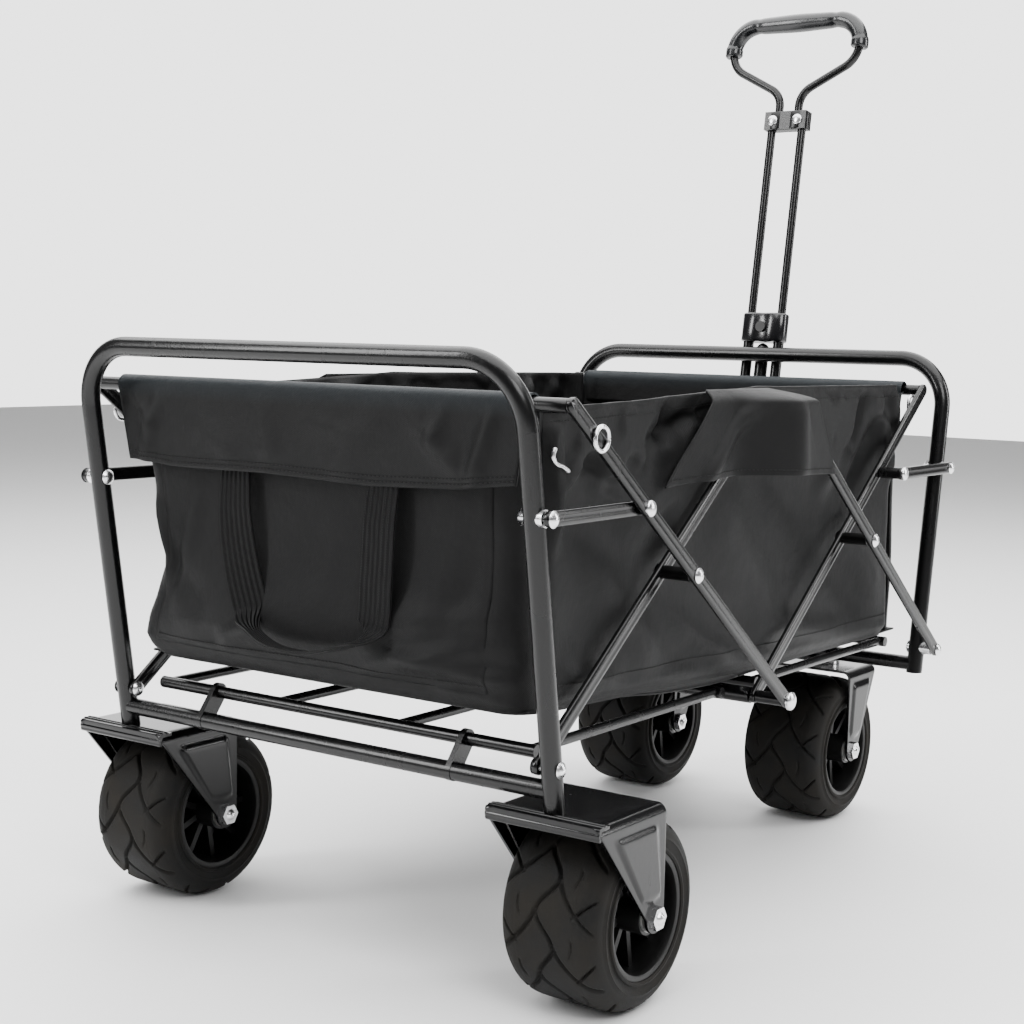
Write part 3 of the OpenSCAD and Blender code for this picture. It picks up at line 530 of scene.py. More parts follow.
def fork_edge(node):
    """The plate's rolled edge: a profile with two ribs and a round nose, carried
    across the cart, its ends turned in."""
    low, high = box_mm(node)
    top, x0 = high[2], low[0]
    outer = np.array([[17, 0.1], [13.5, 0.1], [12.2, 1.2], [10.8, 1.3], [9.6, 0.2], [8.2, 0.2],
                      [7.0, 1.2], [5.6, 1.2], [4.4, 0.1], [2.6, 0.0], [0.9, -0.8], [0.0, -2.6],
                      [0.3, -5], [-0.4, -6.2], [-0.2, -7.6], [0.3, -9], [0.2, -11.2], [1.4, -12.6],
                      [3.0, -12.2], [3.4, -10]])
    inner = np.array([[3.2, -5], [4.2, -3.2], [17, -3.0]])
    profile = np.vstack([smooth_path(outer, 70), inner])
    y = np.array([low[1] + 0.4, low[1] + 0.9, low[1] + 2, (low[1] + high[1]) / 2,
                  high[1] - 2, high[1] - 0.9, high[1] - 0.4])
    pull = np.array([0.8, 0.3, 0, 0, 0, 0.3, 0.8])[:, None]
    centre = profile.mean(0)
    x = x0 + profile[:, 0] + (centre[0] - profile[:, 0]) * pull * 0.08
    z = top + profile[:, 1] + (centre[1] - profile[:, 1]) * pull * 0.08
    return in_mm(x, y[:, None], z)


def dome(name, centre, radius, height, out, seat=0.0):
    """A rivet head in mm on the plane square to Y: a short rim, then a quarter-ellipse
    rise to the pole; out is +1 or -1 along Y."""
    a = np.linspace(0, math.pi / 2 - 0.02, 12)
    r = np.concatenate([[radius, radius], radius * np.cos(a)])
    h = np.concatenate([[-seat - 0.3, 0], 0.25 * height + 0.75 * height * np.sin(a)])
    angle = np.linspace(0, 2 * math.pi, 40, endpoint=False)[:, None]
    points = in_mm(centre[0] + r * np.cos(angle), centre[1] + out * h + 0 * angle,
                   centre[2] + r * np.sin(angle))
    return grid_mesh(name, points.transpose(1, 0, 2), wrap_cols=True, cap=True)


FORK_WALL = 3


def make_fork(end, side):
    """A pressed fork, and on the rear ones its rolled edge."""
    name = f"{end}_{side}_fork"
    body = "rear_frame" if end == "rear" else f"front_{side}_caster"
    axle = pivot_mm(f"{end}_{side}_wheel_spin")
    mesh = grid_mesh(name + "_shell", fork_sheet(name, axle, FORK_WALL, 8, 14, 4))
    piece(name + "_shell", mesh, "fork_paint", body, name,
          wall=FORK_WALL * MM, bevel=0.7 * MM)
    if end == "rear":
        piece(name + "_rolled_edge", bar_mesh(name + "_rolled_edge", fork_edge(name)),
              "fork_paint", body, crisp=55)


# ---- links and arms ----

def oval_bar(name, start, stop, middle_y, width, thick):
    """An oval tube pressed along its middle, in mm between two X and Z points: across
    it a rounded rectangle with a shallow groove in each face, along it a straight run
    whose ends close round in plan."""
    a = np.linspace(0, 2 * math.pi, 44, endpoint=False)
    power = 0.62
    wide = width / 2 * np.sign(np.cos(a)) * np.abs(np.cos(a)) ** power
    deep = thick / 2 * np.sign(np.sin(a)) * np.abs(np.sin(a)) ** power
    deep = deep * (1 - 0.2 * np.exp(-(wide / 1.5) ** 2))
    start, stop = np.array(start, float), np.array(stop, float)
    length = np.linalg.norm(stop - start)
    turn = np.linspace(0.05, math.pi / 2, 12)
    s = np.concatenate([-width / 2 * np.cos(turn), np.linspace(0, length, 30)[1:-1],
                        length + width / 2 * np.cos(turn[::-1])])
    over = np.maximum(-s, s - length).clip(0) / (width / 2)
    narrow = np.sqrt(1 - over ** 2).clip(0.03)[:, None]
    thin = 1 - 0.3 * over[:, None] ** 4
    direction = (stop - start) / length
    x = start[0] + direction[0] * s[:, None] - direction[1] * wide * narrow
    z = start[1] + direction[1] * s[:, None] + direction[0] * wide * narrow
    return grid_mesh(name, in_mm(x, middle_y + deep * thin, z), wrap_cols=True, cap=True)


LINK_THICK, LINK_WIDE, ARM_WIDE, RIVET_STANDS = 7.0, 15.0, 14.0, 3.5
rear_foot, front_foot = pivot_mm("frame_fold")[[0, 2]], pivot_mm("front_foot_pivot")[[0, 2]]
low_mid = pivot_mm("low_middle_pivot")[[0, 2]]
top_mid = np.array([0.0, 2 * pivot_mm("rear_cross_pivot")[2] - rear_foot[1]])
rear_rim = np.mean(box_mm("rear_rim_bar"), 0)[[0, 2]]
front_rim = np.mean(box_mm("front_rim_bar"), 0)[[0, 2]]


def meeting(rim, root):
    """Where the line from a rim bar to the low middle pivot is level with a leg bolt."""
    share = (root[1] - low_mid[1]) / (rim[1] - low_mid[1])
    return low_mid + share * (rim - low_mid)


def make_links(side, sign):
    """The four links and two arms of one side; each keeps the plane of its CAD node,
    measured from the face nearer the cart's middle."""
    rear_root, front_root = (pivot_mm(f"{e}_arm_pivot")[[0, 2]] for e in ("rear", "front"))
    rear_rivet, front_rivet = meeting(rear_rim, rear_root), meeting(front_rim, front_root)
    bars = {
        f"rear_{side}_inner_link": (rear_foot, top_mid, LINK_WIDE, "rear_inner_links", None),
        f"rear_{side}_outer_link": (rear_rim, low_mid, LINK_WIDE, "rear_outer_links", rear_rivet),
        f"front_{side}_inner_link": (low_mid, front_rim, LINK_WIDE, "front_inner_links", None),
        f"front_{side}_outer_link": (top_mid, front_foot, LINK_WIDE, "front_outer_links", None),
        f"rear_{side}_arm": (rear_root, rear_rivet, ARM_WIDE, "rear_arms", None),
        f"front_{side}_arm": (front_root, front_rivet, ARM_WIDE, "front_arms", front_rivet),
    }
    for node, (start, stop, width, body, rivet) in bars.items():
        low, high = box_mm(node)
        outer = max(abs(low[1]), abs(high[1]))
        face = outer - (RIVET_STANDS if rivet is not None else 0)
        middle = sign * (face - LINK_THICK / 2)
        name = node + "_tube"
        piece(name, oval_bar(name, start, stop, middle, width, LINK_THICK),
              "link_paint", body, node, crisp=60)
        if rivet is not None:
            head = node + "_rivet"
            piece(head, dome(head, (rivet[0], sign * face, rivet[1]), 7.5, 4.0, sign, 0.6),
                  "pin_chrome", body)
    sleeve = f"front_{side}_arm_sleeve"
    low, high = box_mm(f"front_{side}_arm")
    near = min(abs(low[1]), abs(high[1]))
    y = sign * np.array([near, near + 0.8, near + 25])
    path = in_mm(np.full(3, front_rivet[0]), y, np.full(3, front_rivet[1]))
    ring = circle(np.array([5.6, 6.4, 6.4]) * MM, 32)
    piece(sleeve, bar_mesh(sleeve, sweep(path, (0, 0, 1), ring)),
          "link_paint", "front_arms")
    cap = f"{side}_low_pivot_cap"
    high = box_mm("bottom_cross_tube")[1]
    spot = (low_mid[0], sign * (high[1] - RIVET_STANDS), low_mid[1])
    piece(cap, dome(cap, spot, 9.5, 5.0, sign, 0.4), "pin_chrome", "bottom_tube")


for end in ("rear", "front"):
    for side in ("left", "right"):
        make_wheel(end, side)
        make_fork(end, side)
make_links("left", 1)
make_links("right", -1)

# ---- bag ----

def creases(a, b, rows):
    """Soft folds in mm on a cloth's two coordinates. Each row is start a, b, end a, b,
    width and height: a bell across the line that fades out past both ends."""
    total = 0
    for a0, b0, a1, b1, width, height in rows:
        line = np.array([a1 - a0, b1 - b0])
        length = np.hypot(*line)
        line = line / length
        run = (a - a0) * line[0] + (b - b0) * line[1]
        off = (b - b0) * line[0] - (a - a0) * line[1]
        share = run / length
        ends = fade(share, -0.2, 0.25) * (1 - fade(share, 0.75, 1.2))
        total = total + height * np.exp(-(off / width) ** 2) * ends
    return total


def ripple(a, b, pitch, height, seed):
    """Small uneven waves: six sines at scattered angles, from a fixed seed."""
    rng = np.random.default_rng(seed)
    angle = rng.uniform(0, math.pi, 6)
    phase = rng.uniform(0, 6.28, 6)
    stretch = rng.uniform(0.7, 1.6, 6)
    waves = [np.sin((a * math.cos(t) + b * math.sin(t)) * 2 * math.pi / (pitch * k) + p)
             for t, p, k in zip(angle, phase, stretch)]
    return height * np.mean(waves, 0)


def fold_up(obj):
    """Gives a side piece its own copy of its mesh data."""
    tuple(in_mm(-FACE, 0, 300))
    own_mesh(obj)


def cloth(name, points, finish, body, replaces=(), thick=2.0, held="hung",
          rests_on=(), squash=False):
    """A sheet of bag cloth made from its grid, with a wall of the given thickness."""
    mesh = grid_mesh(name, points)
    obj = piece(name, mesh, finish, body, replaces, wall=thick * MM, crisp=70)
    if squash:
        fold_up(obj)
    return obj


def stitches(name, path, away, body, squash=False, pitch=4.6):
    """A row of thread: at even steps along a path, a small six-sided bead that lies on
    the cloth, its length along the path and its height along away."""
    lengths = np.append(0, np.linalg.norm(np.diff(path, axis=0), axis=1).cumsum())
    at = np.arange(pitch * MM, lengths[-1] - pitch * MM, pitch * MM)
    spot = np.stack([np.interp(at, lengths, path[:, k]) for k in range(3)], -1)
    ahead = np.stack([np.interp(at + 0.5 * MM, lengths, path[:, k]) for k in range(3)], -1)
    along = unit(ahead - spot)
    up = np.broadcast_to(unit(np.asarray(away, float)), along.shape)
    side = unit(np.cross(up, along))
    s = np.array([-1.6, -1.2, 1.2, 1.6])[:, None] * MM
    w = np.array([0.15, 0.5, 0.5, 0.15])[:, None] * MM
    a = np.linspace(0, 2 * math.pi, 6, endpoint=False)
    c, n = w * np.cos(a), w * np.sin(a)
    bead = sum(size[None, ..., None] * way[:, None, None]
               for size, way in ((s + 0 * a, along), (c, side), (n, up)))
    points = (spot[:, None, None] + bead).reshape(-1, 3)
    count, ring = len(at), np.arange(6)
    quad = np.stack([ring, (ring + 1) % 6, (ring + 1) % 6 + 6, ring + 6], -1)
    wall = (quad[None] + 6 * np.arange(3)[:, None, None]).reshape(-1, 4)
    faces = (wall[None] + 24 * np.arange(count)[:, None, None]).reshape(-1, 4).tolist()
    first = (ring[::-1][None] + 24 * np.arange(count)[:, None]).tolist()
    last = (ring[None] + 18 + 24 * np.arange(count)[:, None]).tolist()
    mesh = bpy.data.meshes.new(name)
    mesh.from_pydata(points.tolist(), [], faces + first + last)
    mesh.uv_layers.new(name="cloth")
    bm = bmesh.new()
    bm.from_mesh(mesh)
    bmesh.ops.recalc_face_normals(bm, faces=bm.faces)
    bm.to_mesh(mesh)
    bm.free()
    obj = piece(name, mesh, "stitch_thread", body)
    if squash:
        fold_up(obj)
    return obj


FACE = 403.0
HALF_BAG = 236.0
BAG_CORNER = 28.0
BASE_REAR_Z, BASE_Z, RIM_Z = 272.0, 248.0, 542.0


def end_plan(half, corner, n=90):
    """Plan of an end panel: straight across, then a quarter turn at each side towards
    the bag's middle. Gives how far in from the face, and the distance across."""
    turn = np.linspace(0, math.pi / 2, 14)
    flat = np.linspace(corner - half, half - corner, n)
    bend = corner * (1 - np.sin(turn))
    inward = np.concatenate([bend, 0 * flat[1:-1], bend[::-1]])
    across = np.concatenate([corner - half - corner * np.cos(turn), flat[1:-1],
                             half - corner + corner * np.cos(turn[::-1])])
    return inward, across


def rear_relief(y, z):
    """How far the rear wall stands out: a sag low down, fixed folds and ripples, all
    fading to nothing at the sewn bottom edge."""
    sag = 6 * np.exp(-((z - 318) / 48) ** 2) * np.cos(np.clip(y / 236, -1, 1) * 1.4)
    folds = creases(y, z, [
        (180, 300, 40, 275, 16, 6), (-60, 292, -215, 332, 12, 9), (-120, 310, -232, 300, 9, 8),
        (-110, 345, -225, 352, 14, 6), (-150, 285, -225, 280, 7, 5),
        (205, 380, 130, 330, 18, -6), (60, 320, 110, 300, 10, 6), (-200, 420, -150, 330, 16, -4),
        (226, 430, 200, 350, 9, 7), (150, 440, 175, 330, 12, 4), (-30, 440, -10, 340, 22, 3)])
    return (sag + folds + ripple(y, z, 150, 2.4, 3)) * fade(z, 271, 292)


def rear_panel():
    """The rear wall: the rounded plan carried up from a turned-under bottom edge, its
    sides drawn in and let out at set heights, sagging out low down, with folds."""
    inward, across = end_plan(HALF_BAG - 3, BAG_CORNER)
    tuck = np.linspace(0, math.pi / 2, 8)
    z = np.concatenate([BASE_REAR_Z - 2 + 13 * (1 - np.cos(tuck)),
                        np.linspace(283, RIM_Z - 6, 90)[1:]])
    under = np.concatenate([13 * (1 - np.sin(tuck)), np.zeros(89)])
    pull_left = np.interp(z, [270, 281, 291, 310, 330, 359, 370, 400, 466, 540],
                          [-14, 0, 7, 2, -8, -18, -22, -14, 3, 3])
    pull_right = np.interp(z, [270, 320, 400, 466, 540], [0, 5, -3, 0, 0])
    far = fade(np.abs(across), 150, 232)[None, :]
    y = across[None, :] + far * np.where(across > 0, 1, -1) * np.where(
        across > 0, pull_left[:, None], pull_right[:, None])
    z2 = z[:, None] + 0 * across[None, :]
    out = rear_relief(across[None, :], z2)
    x = -FACE + inward[None, :] + under[:, None] - out
    return in_mm(x, y, z2)


def rear_flap():
    """The cover over the rear rim bar: up the inside, round the bar and down outside
    to a loose hem that stands a little off the panel and waves."""
    y = np.linspace(-249, 249, 130)
    turn = np.linspace(0, math.pi, 18)
    ring = 9.2
    inner_z = np.linspace(500, RIM_Z, 10)[:-1]
    outer_z = np.linspace(RIM_Z, 464, 34)[1:]
    x = np.concatenate([np.full(9, rear_rim[0] + ring), rear_rim[0] + ring * np.cos(turn),
                        np.full(33, rear_rim[0] - ring)])
    z = np.concatenate([inner_z, RIM_Z + ring * np.sin(turn), outer_z])
    drop = np.concatenate([np.zeros(27), np.linspace(0, 1, 34)[1:]])[:, None]
    y2 = y[None, :] * (1 - np.where(y > 0, 0.075, 0.03)[None, :] * drop)
    hem = np.interp(y, [-244, -184, -83, 51, 180, 238], [11, 4, 0, 4, 3, 7])[None, :]
    z2 = z[:, None] + drop * (hem - 2)
    stand = drop * (2 + 2.5 * np.sin(y / 70)[None, :]) + creases(y[None, :], z2, [
        (-120, 535, -185, 480, 12, 8), (-215, 540, -200, 470, 9, 9), (60, 535, 40, 480, 14, 5),
        (-90, 530, -40, 470, 18, 5), (190, 535, 225, 470, 10, 7), (150, 520, 90, 480, 16, 4),
        (232, 545, 205, 500, 8, 6), (-165, 545, -150, 500, 8, 6),
        (0, 520, -60, 505, 10, 4)]) * drop ** 0.5
    return in_mm(x[:, None] - stand + 0 * y[None, :], y2, z2)


def rear_pocket():
    """The wide pocket on the rear wall: a low pillow whose depth rises from its sewn
    edges, deepest near the bottom."""
    y = np.linspace(-204, 204, 120)[None, :]
    z = np.linspace(BASE_REAR_Z + 16, 470, 80)[:, None]
    rise = fade(204 - np.abs(y), 0, 60) * fade(z, BASE_REAR_Z + 16, BASE_REAR_Z + 46)
    belly = 2 + 8 * np.exp(-((z - 328) / 46) ** 2)
    out = (0.6 + 1.4 * fade(rise, 0, 0.05) + rear_relief(y, z)
           + rise * (belly + ripple(y, z, 120, 1.6, 8)))
    drawn = np.interp(z, [281, 291, 310, 330, 359, 370, 400, 466],
                      [0, 7, 2, -8, -18, -22, -14, 3]) * fade(y, 150, 232)
    return in_mm(-FACE - out, y + drawn, z + 0 * y)


def side_sheet(sign):
    """A side wall: flat between the corners and drawn in a little halfway, its top edge
    rising to the middle pivot, with long folds that hang from it."""
    x = np.linspace(-382, 382, 220)[:, None]
    v = np.linspace(0, 1, 90)[None, :]
    low = np.interp(x, [-382, 71, 382], [BASE_REAR_Z - 3, 249, 246])
    high = np.interp(x, [-382, -227, -60, 0, 60, 382], [538, 542, 549, 552, 551, 549])
    z = low + (high - low) * v
    hang = creases(x, z, [
        (-15, 545, -175, 395, 20, 9), (-95, 500, -235, 420, 22, 7), (-200, 540, -290, 470, 14, 6),
        (-330, 535, -240, 440, 18, 5), (-120, 545, -130, 470, 12, 5), (-70, 545, -200, 500, 10, -5),
        (30, 548, 150, 470, 16, 7), (90, 545, 230, 500, 16, 7), (150, 548, 180, 470, 10, 5),
        (240, 545, 170, 430, 18, 6), (300, 546, 360, 440, 14, 6), (340, 540, 250, 420, 14, -5),
        (-20, 548, -50, 470, 9, 7), (-255, 540, -215, 480, 10, 7), (-290, 541, -345, 470, 9, 7),
        (-175, 545, -165, 500, 9, -6), (200, 548, 205, 505, 8, 6), (275, 548, 255, 480, 9, -6),
        (355, 547, 368, 470, 9, 7), (-370, 530, -355, 420, 10, 6), (-330, 500, -250, 455, 9, -5),
        (-60, 440, 60, 300, 40, 5), (-300, 400, -180, 290, 30, 5), (200, 420, 330, 300, 30, 5),
        (-160, 330, -20, 262, 16, 4), (40, 300, 240, 262, 14, 4), (-340, 300, -250, 280, 10, 3)])
    inward = 13 * np.sin(math.pi * v) ** 0.7 * (1 - 0.7 * (x / 400) ** 2) + 3
    body = 1.9 * hang * fade(v, 0.0, 0.12) * (1 - 0.75 * fade(v, 0.93, 0.99))
    ruffle = ripple(x, z, 130, 2.4, 21) * fade(v, 0, 0.1)
    corner = 16 * (fade(np.abs(x), 345, 382)) ** 2
    tuck = 9 * (1 - fade(v, 0, 0.05))
    y = 243.5 - np.maximum(inward + corner + tuck - body - ruffle, 0.5)
    return in_mm(x + 0 * v, sign * np.minimum(y, 246.2), z)


def pivot_flap(sign):
    """The cover over the top middle pivot: it leaves the rim, is pushed out by the pin
    heads like a tent and flares to a loose lower edge outside the links."""
    t = np.linspace(0, 1, 60)[:, None]
    v = np.linspace(0, 1, 60)[None, :]
    left = -114 - 78 * v
    right = 14 + 54 * v
    x = left + (right - left) * t
    z = 549.5 - 88 * v + 5 * np.sin(t * math.pi) * v - 3 * v * (1 - t)
    out = 250 + 10 * fade(x, -192, -120) + 42 * fade(x, -84, -15)
    out = 246 + (out - 246) * np.sin(math.pi / 2 * np.clip(v / 0.14, 0, 1))
    fold = creases(x, z, [(-70, 545, -160, 465, 9, -9), (-50, 545, -135, 460, 9, 7),
                          (-20, 545, -10, 460, 14, 5), (0, 545, 45, 470, 9, -5)])
    y = (out + np.maximum(fold, -0.6) * fade(v, 0.05, 0.3)
         + np.maximum(ripple(x, z, 90, 1.2, 5), -0.5))
    return in_mm(x, sign * (y + 0 * t), z)


def front_panel():
    """The front wall, its top carried round the front rim bar and hemmed inside."""
    inward, across = end_plan(HALF_BAG - 3, BAG_CORNER)
    turn = np.linspace(0, math.pi, 18)
    ring = 9.6
    z = np.concatenate([np.linspace(BASE_Z + 1, RIM_Z, 70)[:-1], RIM_Z + ring * np.sin(turn),
                        np.linspace(RIM_Z, 512, 12)[1:]])
    rise = np.linspace(0, 1, 69)
    x = np.concatenate([np.interp(rise, [0, 0.78, 1], [FACE, FACE, front_rim[0] + ring]),
                        front_rim[0] + ring * np.cos(turn), np.full(11, front_rim[0] - ring)])
    z2 = z[:, None] + 0 * across[None, :]
    keep = np.concatenate([1 - fade(rise, 0.7, 0.95), np.zeros(29)])[:, None]
    sag = 6 * np.exp(-((z2 - 330) / 70) ** 2) + ripple(across[None, :], z2, 140, 3, 12)
    plan = inward[None, :] * np.concatenate([np.ones(69), np.full(29, 0.25)])[:, None]
    return in_mm(x[:, None] - plan + sag * keep, across[None, :] * 0.985 + 0 * z2, z2)


def base_half(sign):
    """Half of the bag's floor, lying on its floor frame and lifting a little towards
    the rear wall, with shallow hollows between the bars."""
    x = np.linspace(0.4, 389 if sign < 0 else 401, 70)[:, None] * sign
    y = np.linspace(-231.5, 231.5, 60)[None, :]
    lift = (BASE_REAR_Z - BASE_Z) * fade(-x, 40, 380)
    z = BASE_Z + lift - 0.6 * np.cos(y / 452 * 6 * math.pi) + ripple(x, y, 110, 0.8, 4)
    return in_mm(x + 0 * y, y + 0 * x, z)


cloth("bag_rear_wall", rear_panel(), "bag_cloth", "rear_frame", "bag_rear_panel",
      rests_on=["rear_rim_bar"])
cloth("bag_rear_rim_flap", rear_flap(), "hem_cloth", "rear_frame", thick=1.8, held="folded",
      rests_on=["rear_rim_bar"])
cloth("bag_rear_pocket", rear_pocket(), "bag_cloth", "rear_frame", "rear_pouch", thick=1.8,
      rests_on=["bag_rear_wall"])
cloth("bag_front_wall", front_panel(), "hem_cloth", "front_frame", "bag_front_panel",
      rests_on=["front_rim_bar"])
for side, sign in (("left", 1), ("right", -1)):
    cloth(f"bag_{side}_wall", side_sheet(sign), "bag_cloth", "rear_frame", f"bag_{side}_panel",
          rests_on=["bag_rear_wall", "bag_front_wall"], squash=True)
    cloth(f"bag_{side}_pivot_flap", pivot_flap(sign), "bag_cloth", "rear_frame", thick=1.8,
          rests_on=[f"bag_{side}_wall"], squash=True)
for end, sign in (("rear", -1), ("front", 1)):
    cloth(f"bag_{end}_floor", base_half(sign), "bag_cloth", f"{end}_floor", f"bag_base_{end}",
          held="laid", rests_on=[f"{end}_floor_frame"])


def webbing_loop():
    """The lifting loop: a flat strap swept down from under the flap, round a low U and
    up again, its left run bowed outwards."""
    route = np.array([[90, 472], [86, 430], [79, 392], [66, 350], [54, 326], [28, 310], [-5, 306],
                      [-40, 310], [-72, 320], [-88, 336], [-91, 380], [-92, 430],
                      [-93, 472]], float)
    line = smooth_path(route, 160)
    edge_on = fade(340 - line[:, 1], 0, 22)
    lift = 14 + 13 * edge_on + np.interp(line[:, 1], [330, 380, 430, 470], [8, 7, 5, 0])
    path = in_mm(-FACE - lift, line[:, 0], line[:, 1])
    half = (17 - 6 * edge_on)[:, None] * MM
    deep = 1.1 * MM
    outline = np.array([[-1, -1], [-0.5, -1.1], [0, -1.15], [0.5, -1.1], [1, -1], [1, 1],
                        [0.5, 1.1], [0, 1.15], [-0.5, 1.1], [-1, 1]])
    profile = np.stack([outline[:, 0] * half, np.broadcast_to(outline[:, 1] * deep, (160, 10))], -1)
    lean = np.interp(np.arange(160), [0, 40, 70, 110, 159], [4, 30, 20, -6, -3])
    twist = np.radians(lean * (1 - edge_on) + edge_on * 97)[:, None]
    across, through = profile[..., 0], profile[..., 1]
    spun = np.stack([across * np.cos(twist) - through * np.sin(twist),
                     across * np.sin(twist) + through * np.cos(twist)], -1)
    return sweep(path, (-1.0, 0.0, 0.0), spun)


piece("rear_lifting_strap", bar_mesh("rear_lifting_strap", webbing_loop()),
      "webbing", "rear_frame", "webbing_handle", crisp=50)

flap_grid, pocket_grid = rear_flap(), rear_pocket()
rearward = np.array([-1.3, 0, 0]) * MM
for row in (3, 5):
    stitches(f"rear_flap_hem_stitch_{row}", flap_grid[-row] + rearward, (-1, 0, 0), "rear_frame")
stitches("rear_pocket_stitch_low", pocket_grid[3] + rearward, (-1, 0, 0), "rear_frame")
for side, sign in (("left", 1), ("right", -1)):
    wall_grid, tent_grid = side_sheet(sign), pivot_flap(sign)
    lift = np.array([0, 1.3 * sign, 0]) * MM
    stitches(f"{side}_rim_stitch", wall_grid[:, -5] + lift, (0, sign, 0), "rear_frame", True)
    stitches(f"{side}_floor_stitch", wall_grid[:, 8] + lift, (0, sign, 0), "rear_frame", True)
    stitches(f"{side}_flap_stitch", tent_grid[:, -5] + lift, (0, sign, 0), "rear_frame", True)

# ---- handle ----

swing = pivot_mm("handle_swing")
UP = np.array([math.sin(LEAN), 0, math.cos(LEAN)])
AHEAD = np.array([math.cos(LEAN), 0, -math.sin(LEAN)])


def handle_mm(out, across, along):
    """World points from the handle's own frame in mm: out ahead of its plane, across
    the cart, and along it from its pivot."""
    out, across, along = np.broadcast_arrays(np.asarray(out, float), across, along)
    p = (swing + out[..., None] * AHEAD + across[..., None] * np.array([0, 1, 0])
         + along[..., None] * UP)
    return in_mm(p[..., 0], p[..., 1], p[..., 2])


def clamp_block(half_w, half_t, low, high, waist, edge):
    """A block round two tubes: an oval section pinched at its middle, carried up the
    handle, its first and last rows drawn in for soft edges."""
    a = np.linspace(0, 2 * math.pi, 64, endpoint=False)
    c, s = np.cos(a), np.sin(a)
    across = half_w * np.sign(c) * np.abs(c) ** 0.55
    out = half_t * np.sign(s) * np.abs(s) ** 0.7 * (1 - waist * np.exp(-(across / 7) ** 2))
    rows = np.array([low, low + 0.3 * edge, low + edge, (low + high) / 2, high - edge,
                     high - 0.3 * edge, high])[:, None]
    draw = np.array([edge, 0.3 * edge, 0, 0, 0, 0.3 * edge, edge])[:, None]
    shrink_w, shrink_t = 1 - draw / half_w, 1 - draw / half_t
    return handle_mm(out * shrink_t, across * shrink_w, rows + 0 * a)


GRIP_RADIUS = 11.5


def grip_path():
    """The grip's line in the handle frame: down one bend, across and down the other."""
    high = box_mm("handle_grip")[1]
    top = (high[2] - swing[2] - GRIP_RADIUS) / math.cos(LEAN)
    bend = np.radians(np.linspace(100, 0, 34))
    across = np.concatenate([58 + 34 * np.sin(bend), np.linspace(58, -58, 50)[1:-1],
                             -58 - 34 * np.sin(bend[::-1])])
    along = np.concatenate([top - 34 + 34 * np.cos(bend), np.full(48, top),
                            top - 34 + 34 * np.cos(bend[::-1])])
    return across, along


def hand_grip():
    """A tube on the grip's line whose radius swells at the palm, steps at its ends and
    flares into a cuff where it stops."""
    across, along = grip_path()
    s = np.append(0, np.hypot(np.diff(across), np.diff(along)).cumsum())
    s = s - s[-1] / 2
    end = s[-1]
    radius = 10.6 + 1.4 * np.exp(-(s / 34) ** 2) - 0.9 * np.exp(-((np.abs(s) - 56) / 5) ** 2)
    radius = radius + 1.0 * fade(np.abs(s), end - 13, end - 10)
    radius = np.where(np.abs(s) > end - 1.2, radius - 1.6, radius)
    path = handle_mm(0, across, along)
    return sweep(path, AHEAD, circle(radius * MM, 36))


piece("palm_grip", bar_mesh("palm_grip", hand_grip()),
      "grip_rubber", "handle_upper", "handle_grip", crisp=50)
COLLAR_HALF, CLAMP_HALF, COLLAR_TO_CLAMP = 19, 12.4, 277
collar_low, collar_high = box_mm("handle_collar")
collar_mid = ((collar_low + collar_high)[2] / 2 - swing[2]) / math.cos(LEAN)
yoke_mid = collar_mid + COLLAR_TO_CLAMP
collar = clamp_block(31.5, 13, collar_mid - COLLAR_HALF, collar_mid + COLLAR_HALF, 0.22, 2.4)
piece("moulded_collar", bar_mesh("moulded_collar", collar),
      "collar_plastic", "handle_lower", "handle_collar", crisp=60)
clamp = clamp_block(31, 9.4, yoke_mid - CLAMP_HALF, yoke_mid + CLAMP_HALF, 0.3, 1.6)
piece("upper_clamp", bar_mesh("upper_clamp", clamp),
      "frame_paint", "handle_upper", crisp=60)


def bolt_head(across, radius, height):
    """A dome on the clamp's rear face, its axis square to the handle's plane."""
    a = np.linspace(0, math.pi / 2 - 0.02, 10)
    r = np.concatenate([[radius, radius], radius * np.cos(a)])[:, None]
    h = np.concatenate([[-1, 0], 0.3 * height + 0.7 * height * np.sin(a)])[:, None]
    t = np.linspace(0, 2 * math.pi, 32, endpoint=False)[None, :]
    return handle_mm(-8.6 - h + 0 * t, across + r * np.cos(t), yoke_mid + r * np.sin(t))


for side, across in (("left", 18), ("right", -18)):
    name = f"clamp_bolt_{side}"
    piece(name, bar_mesh(name, bolt_head(across, 7.0, 3.2)),
          "pin_chrome", "handle_upper")

# ---- hooks, rings and caps ----

def wire(name, route, radius, body):
    """Round wire along a smooth curve in one plane, its ends rounded off."""
    path = smooth_path(in_mm(*np.array(route, float).T), 12 * len(route))
    size = np.full(len(path), radius)
    size[[0, -1]] = 0.35 * radius
    size[[1, -2]] = 0.85 * radius
    mesh = bar_mesh(name, sweep(path, (0, 1, 0), circle(size * MM, 12)))
    return piece(name, mesh, "pin_chrome", body)


for side, sign in (("left", 1), ("right", -1)):
    y = sign * 245.5
    wire(f"rear_{side}_tie_hook", [(-372, y, 504), (-375, y, 497), (-370, y, 490), (-360, y, 487),
                                 (-350, y, 482)], 2.0, "rear_frame")
    wire(f"front_{side}_tie_hook", [(385, y, 512), (384, y, 528), (389, y, 535), (398, y, 533),
                                  (401, y, 522)], 2.0, "front_frame")
    a = np.linspace(0, 2 * math.pi, 15)
    ring_y = sign * (np.abs(box_mm(f"rear_{side}_outer_link"))[:, 1].max() - 1.5)
    spot = low_mid + 0.91 * (rear_rim - low_mid)
    wire(f"rear_{side}_link_ring",
         [(spot[0] + 10.5 * math.cos(t), ring_y, spot[1] + 10.5 * math.sin(t)) for t in a],
         2.0, "rear_outer_links")

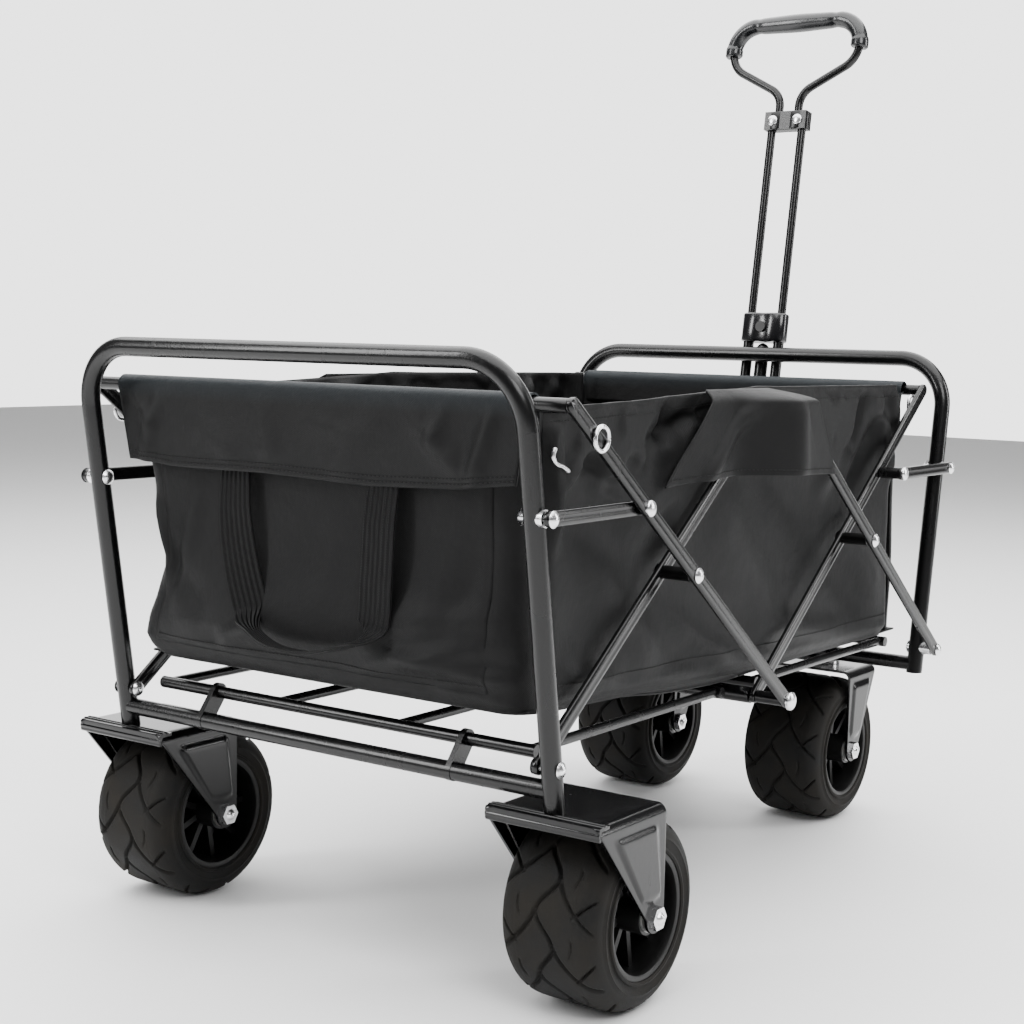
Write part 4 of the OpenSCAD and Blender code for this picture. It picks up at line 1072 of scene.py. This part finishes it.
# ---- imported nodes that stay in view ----

PINNED = ("rear_link_pins", "front_link_pins")

for part in frame["record"]["subparts"]:
    node = frame["nodes"][part["node"]]
    for slot in node.material_slots:
        slot.material = finishes["link_pins" if part["node"] in PINNED else part["material_slot"]]

# ---- studio ----

def studio_mesh(name, points):
    """A surface of the room, which is not part of the cart."""
    mesh = grid_mesh(name, points)
    obj = bpy.data.objects.new(name, mesh)
    bpy.context.scene.collection.objects.link(obj)
    return obj


pale = Finish("pale_floor", (0.93, 0.93, 0.93), 0.6)
pale.emboss(pale.noise(pale.place(), 30.0, 2.0), 0.0002)
span = np.linspace(-9, 9, 4)
ground = np.stack(np.broadcast_arrays(span[:, None], span[None, :], -0.0005), -1)
floor = studio_mesh("studio_floor", ground)
floor.data.materials.append(pale.data)

world = bpy.data.worlds.new("white_room")
world.use_nodes = True
bpy.context.scene.world = world


def soft_box(name, where, target, size, power):
    """A rectangular light turned towards its target."""
    light = bpy.data.lights.new(name, "AREA")
    light.shape, light.size, light.size_y, light.energy = "RECTANGLE", size[0], size[1], power
    obj = bpy.data.objects.new(name, light)
    aim = (Vector(target) - Vector(where)).to_track_quat("-Z", "Y")
    obj.location, obj.rotation_euler = where, aim.to_euler()
    bpy.context.scene.collection.objects.link(obj)


soft_box("key_light", (-1.6, -2.2, 2.4), (0, 0, 0.4), (1.6, 1.2), 62)
soft_box("side_strip", (1.6, -2.0, 1.2), (0.1, 0, 0.5), (0.4, 1.8), 34)
soft_box("rear_strip", (-2.2, 1.6, 1.6), (0, 0, 0.4), (0.5, 1.6), 50)
soft_box("top_light", (0.2, 0.2, 3.0), (0, 0, 0), (5.0, 5.0), 420)

YAW, PITCH, ROLL = 0.617, 0.098, 0.022
ahead = Vector((math.cos(YAW) * math.cos(PITCH), math.sin(YAW) * math.cos(PITCH), -math.sin(PITCH)))
level = Vector((math.sin(YAW), -math.cos(YAW), 0))
upward = level.cross(ahead)
right = level * math.cos(ROLL) + upward * math.sin(ROLL)
above = upward * math.cos(ROLL) - level * math.sin(ROLL)
lens = bpy.data.cameras.new("view")
lens.lens, lens.sensor_width = 62.03, 36
lens.shift_x, lens.shift_y = -0.0042, -0.0063


def light_room(tree, toward):
    """A room that is bright on the side the cart is seen against and dim elsewhere."""
    back = tree.nodes["Background"]
    place = tree.nodes.new("ShaderNodeTexCoord")
    facing = tree.nodes.new("ShaderNodeVectorMath")
    facing.operation = "DOT_PRODUCT"
    facing.inputs[1].default_value = toward
    level = tree.nodes.new("ShaderNodeMapRange")
    for i, value in enumerate((0.62, 0.9, 0.14, 3.0)):
        level.inputs[i + 1].default_value = value
    tree.links.new(place.outputs["Generated"], facing.inputs[0])
    tree.links.new(facing.outputs["Value"], level.inputs[0])
    tree.links.new(level.outputs[0], back.inputs[1])
    back.inputs[0].default_value = (1, 1, 1, 1)


light_room(world.node_tree, ahead)
camera = bpy.data.objects.new("view", lens)
turn = Matrix((right, above, -ahead)).transposed().to_4x4()
camera.matrix_world = Matrix.Translation(Vector(in_mm(-1624.9, -1094.4, 602.0))) @ turn
bpy.context.scene.collection.objects.link(camera)
bpy.context.scene.camera = camera
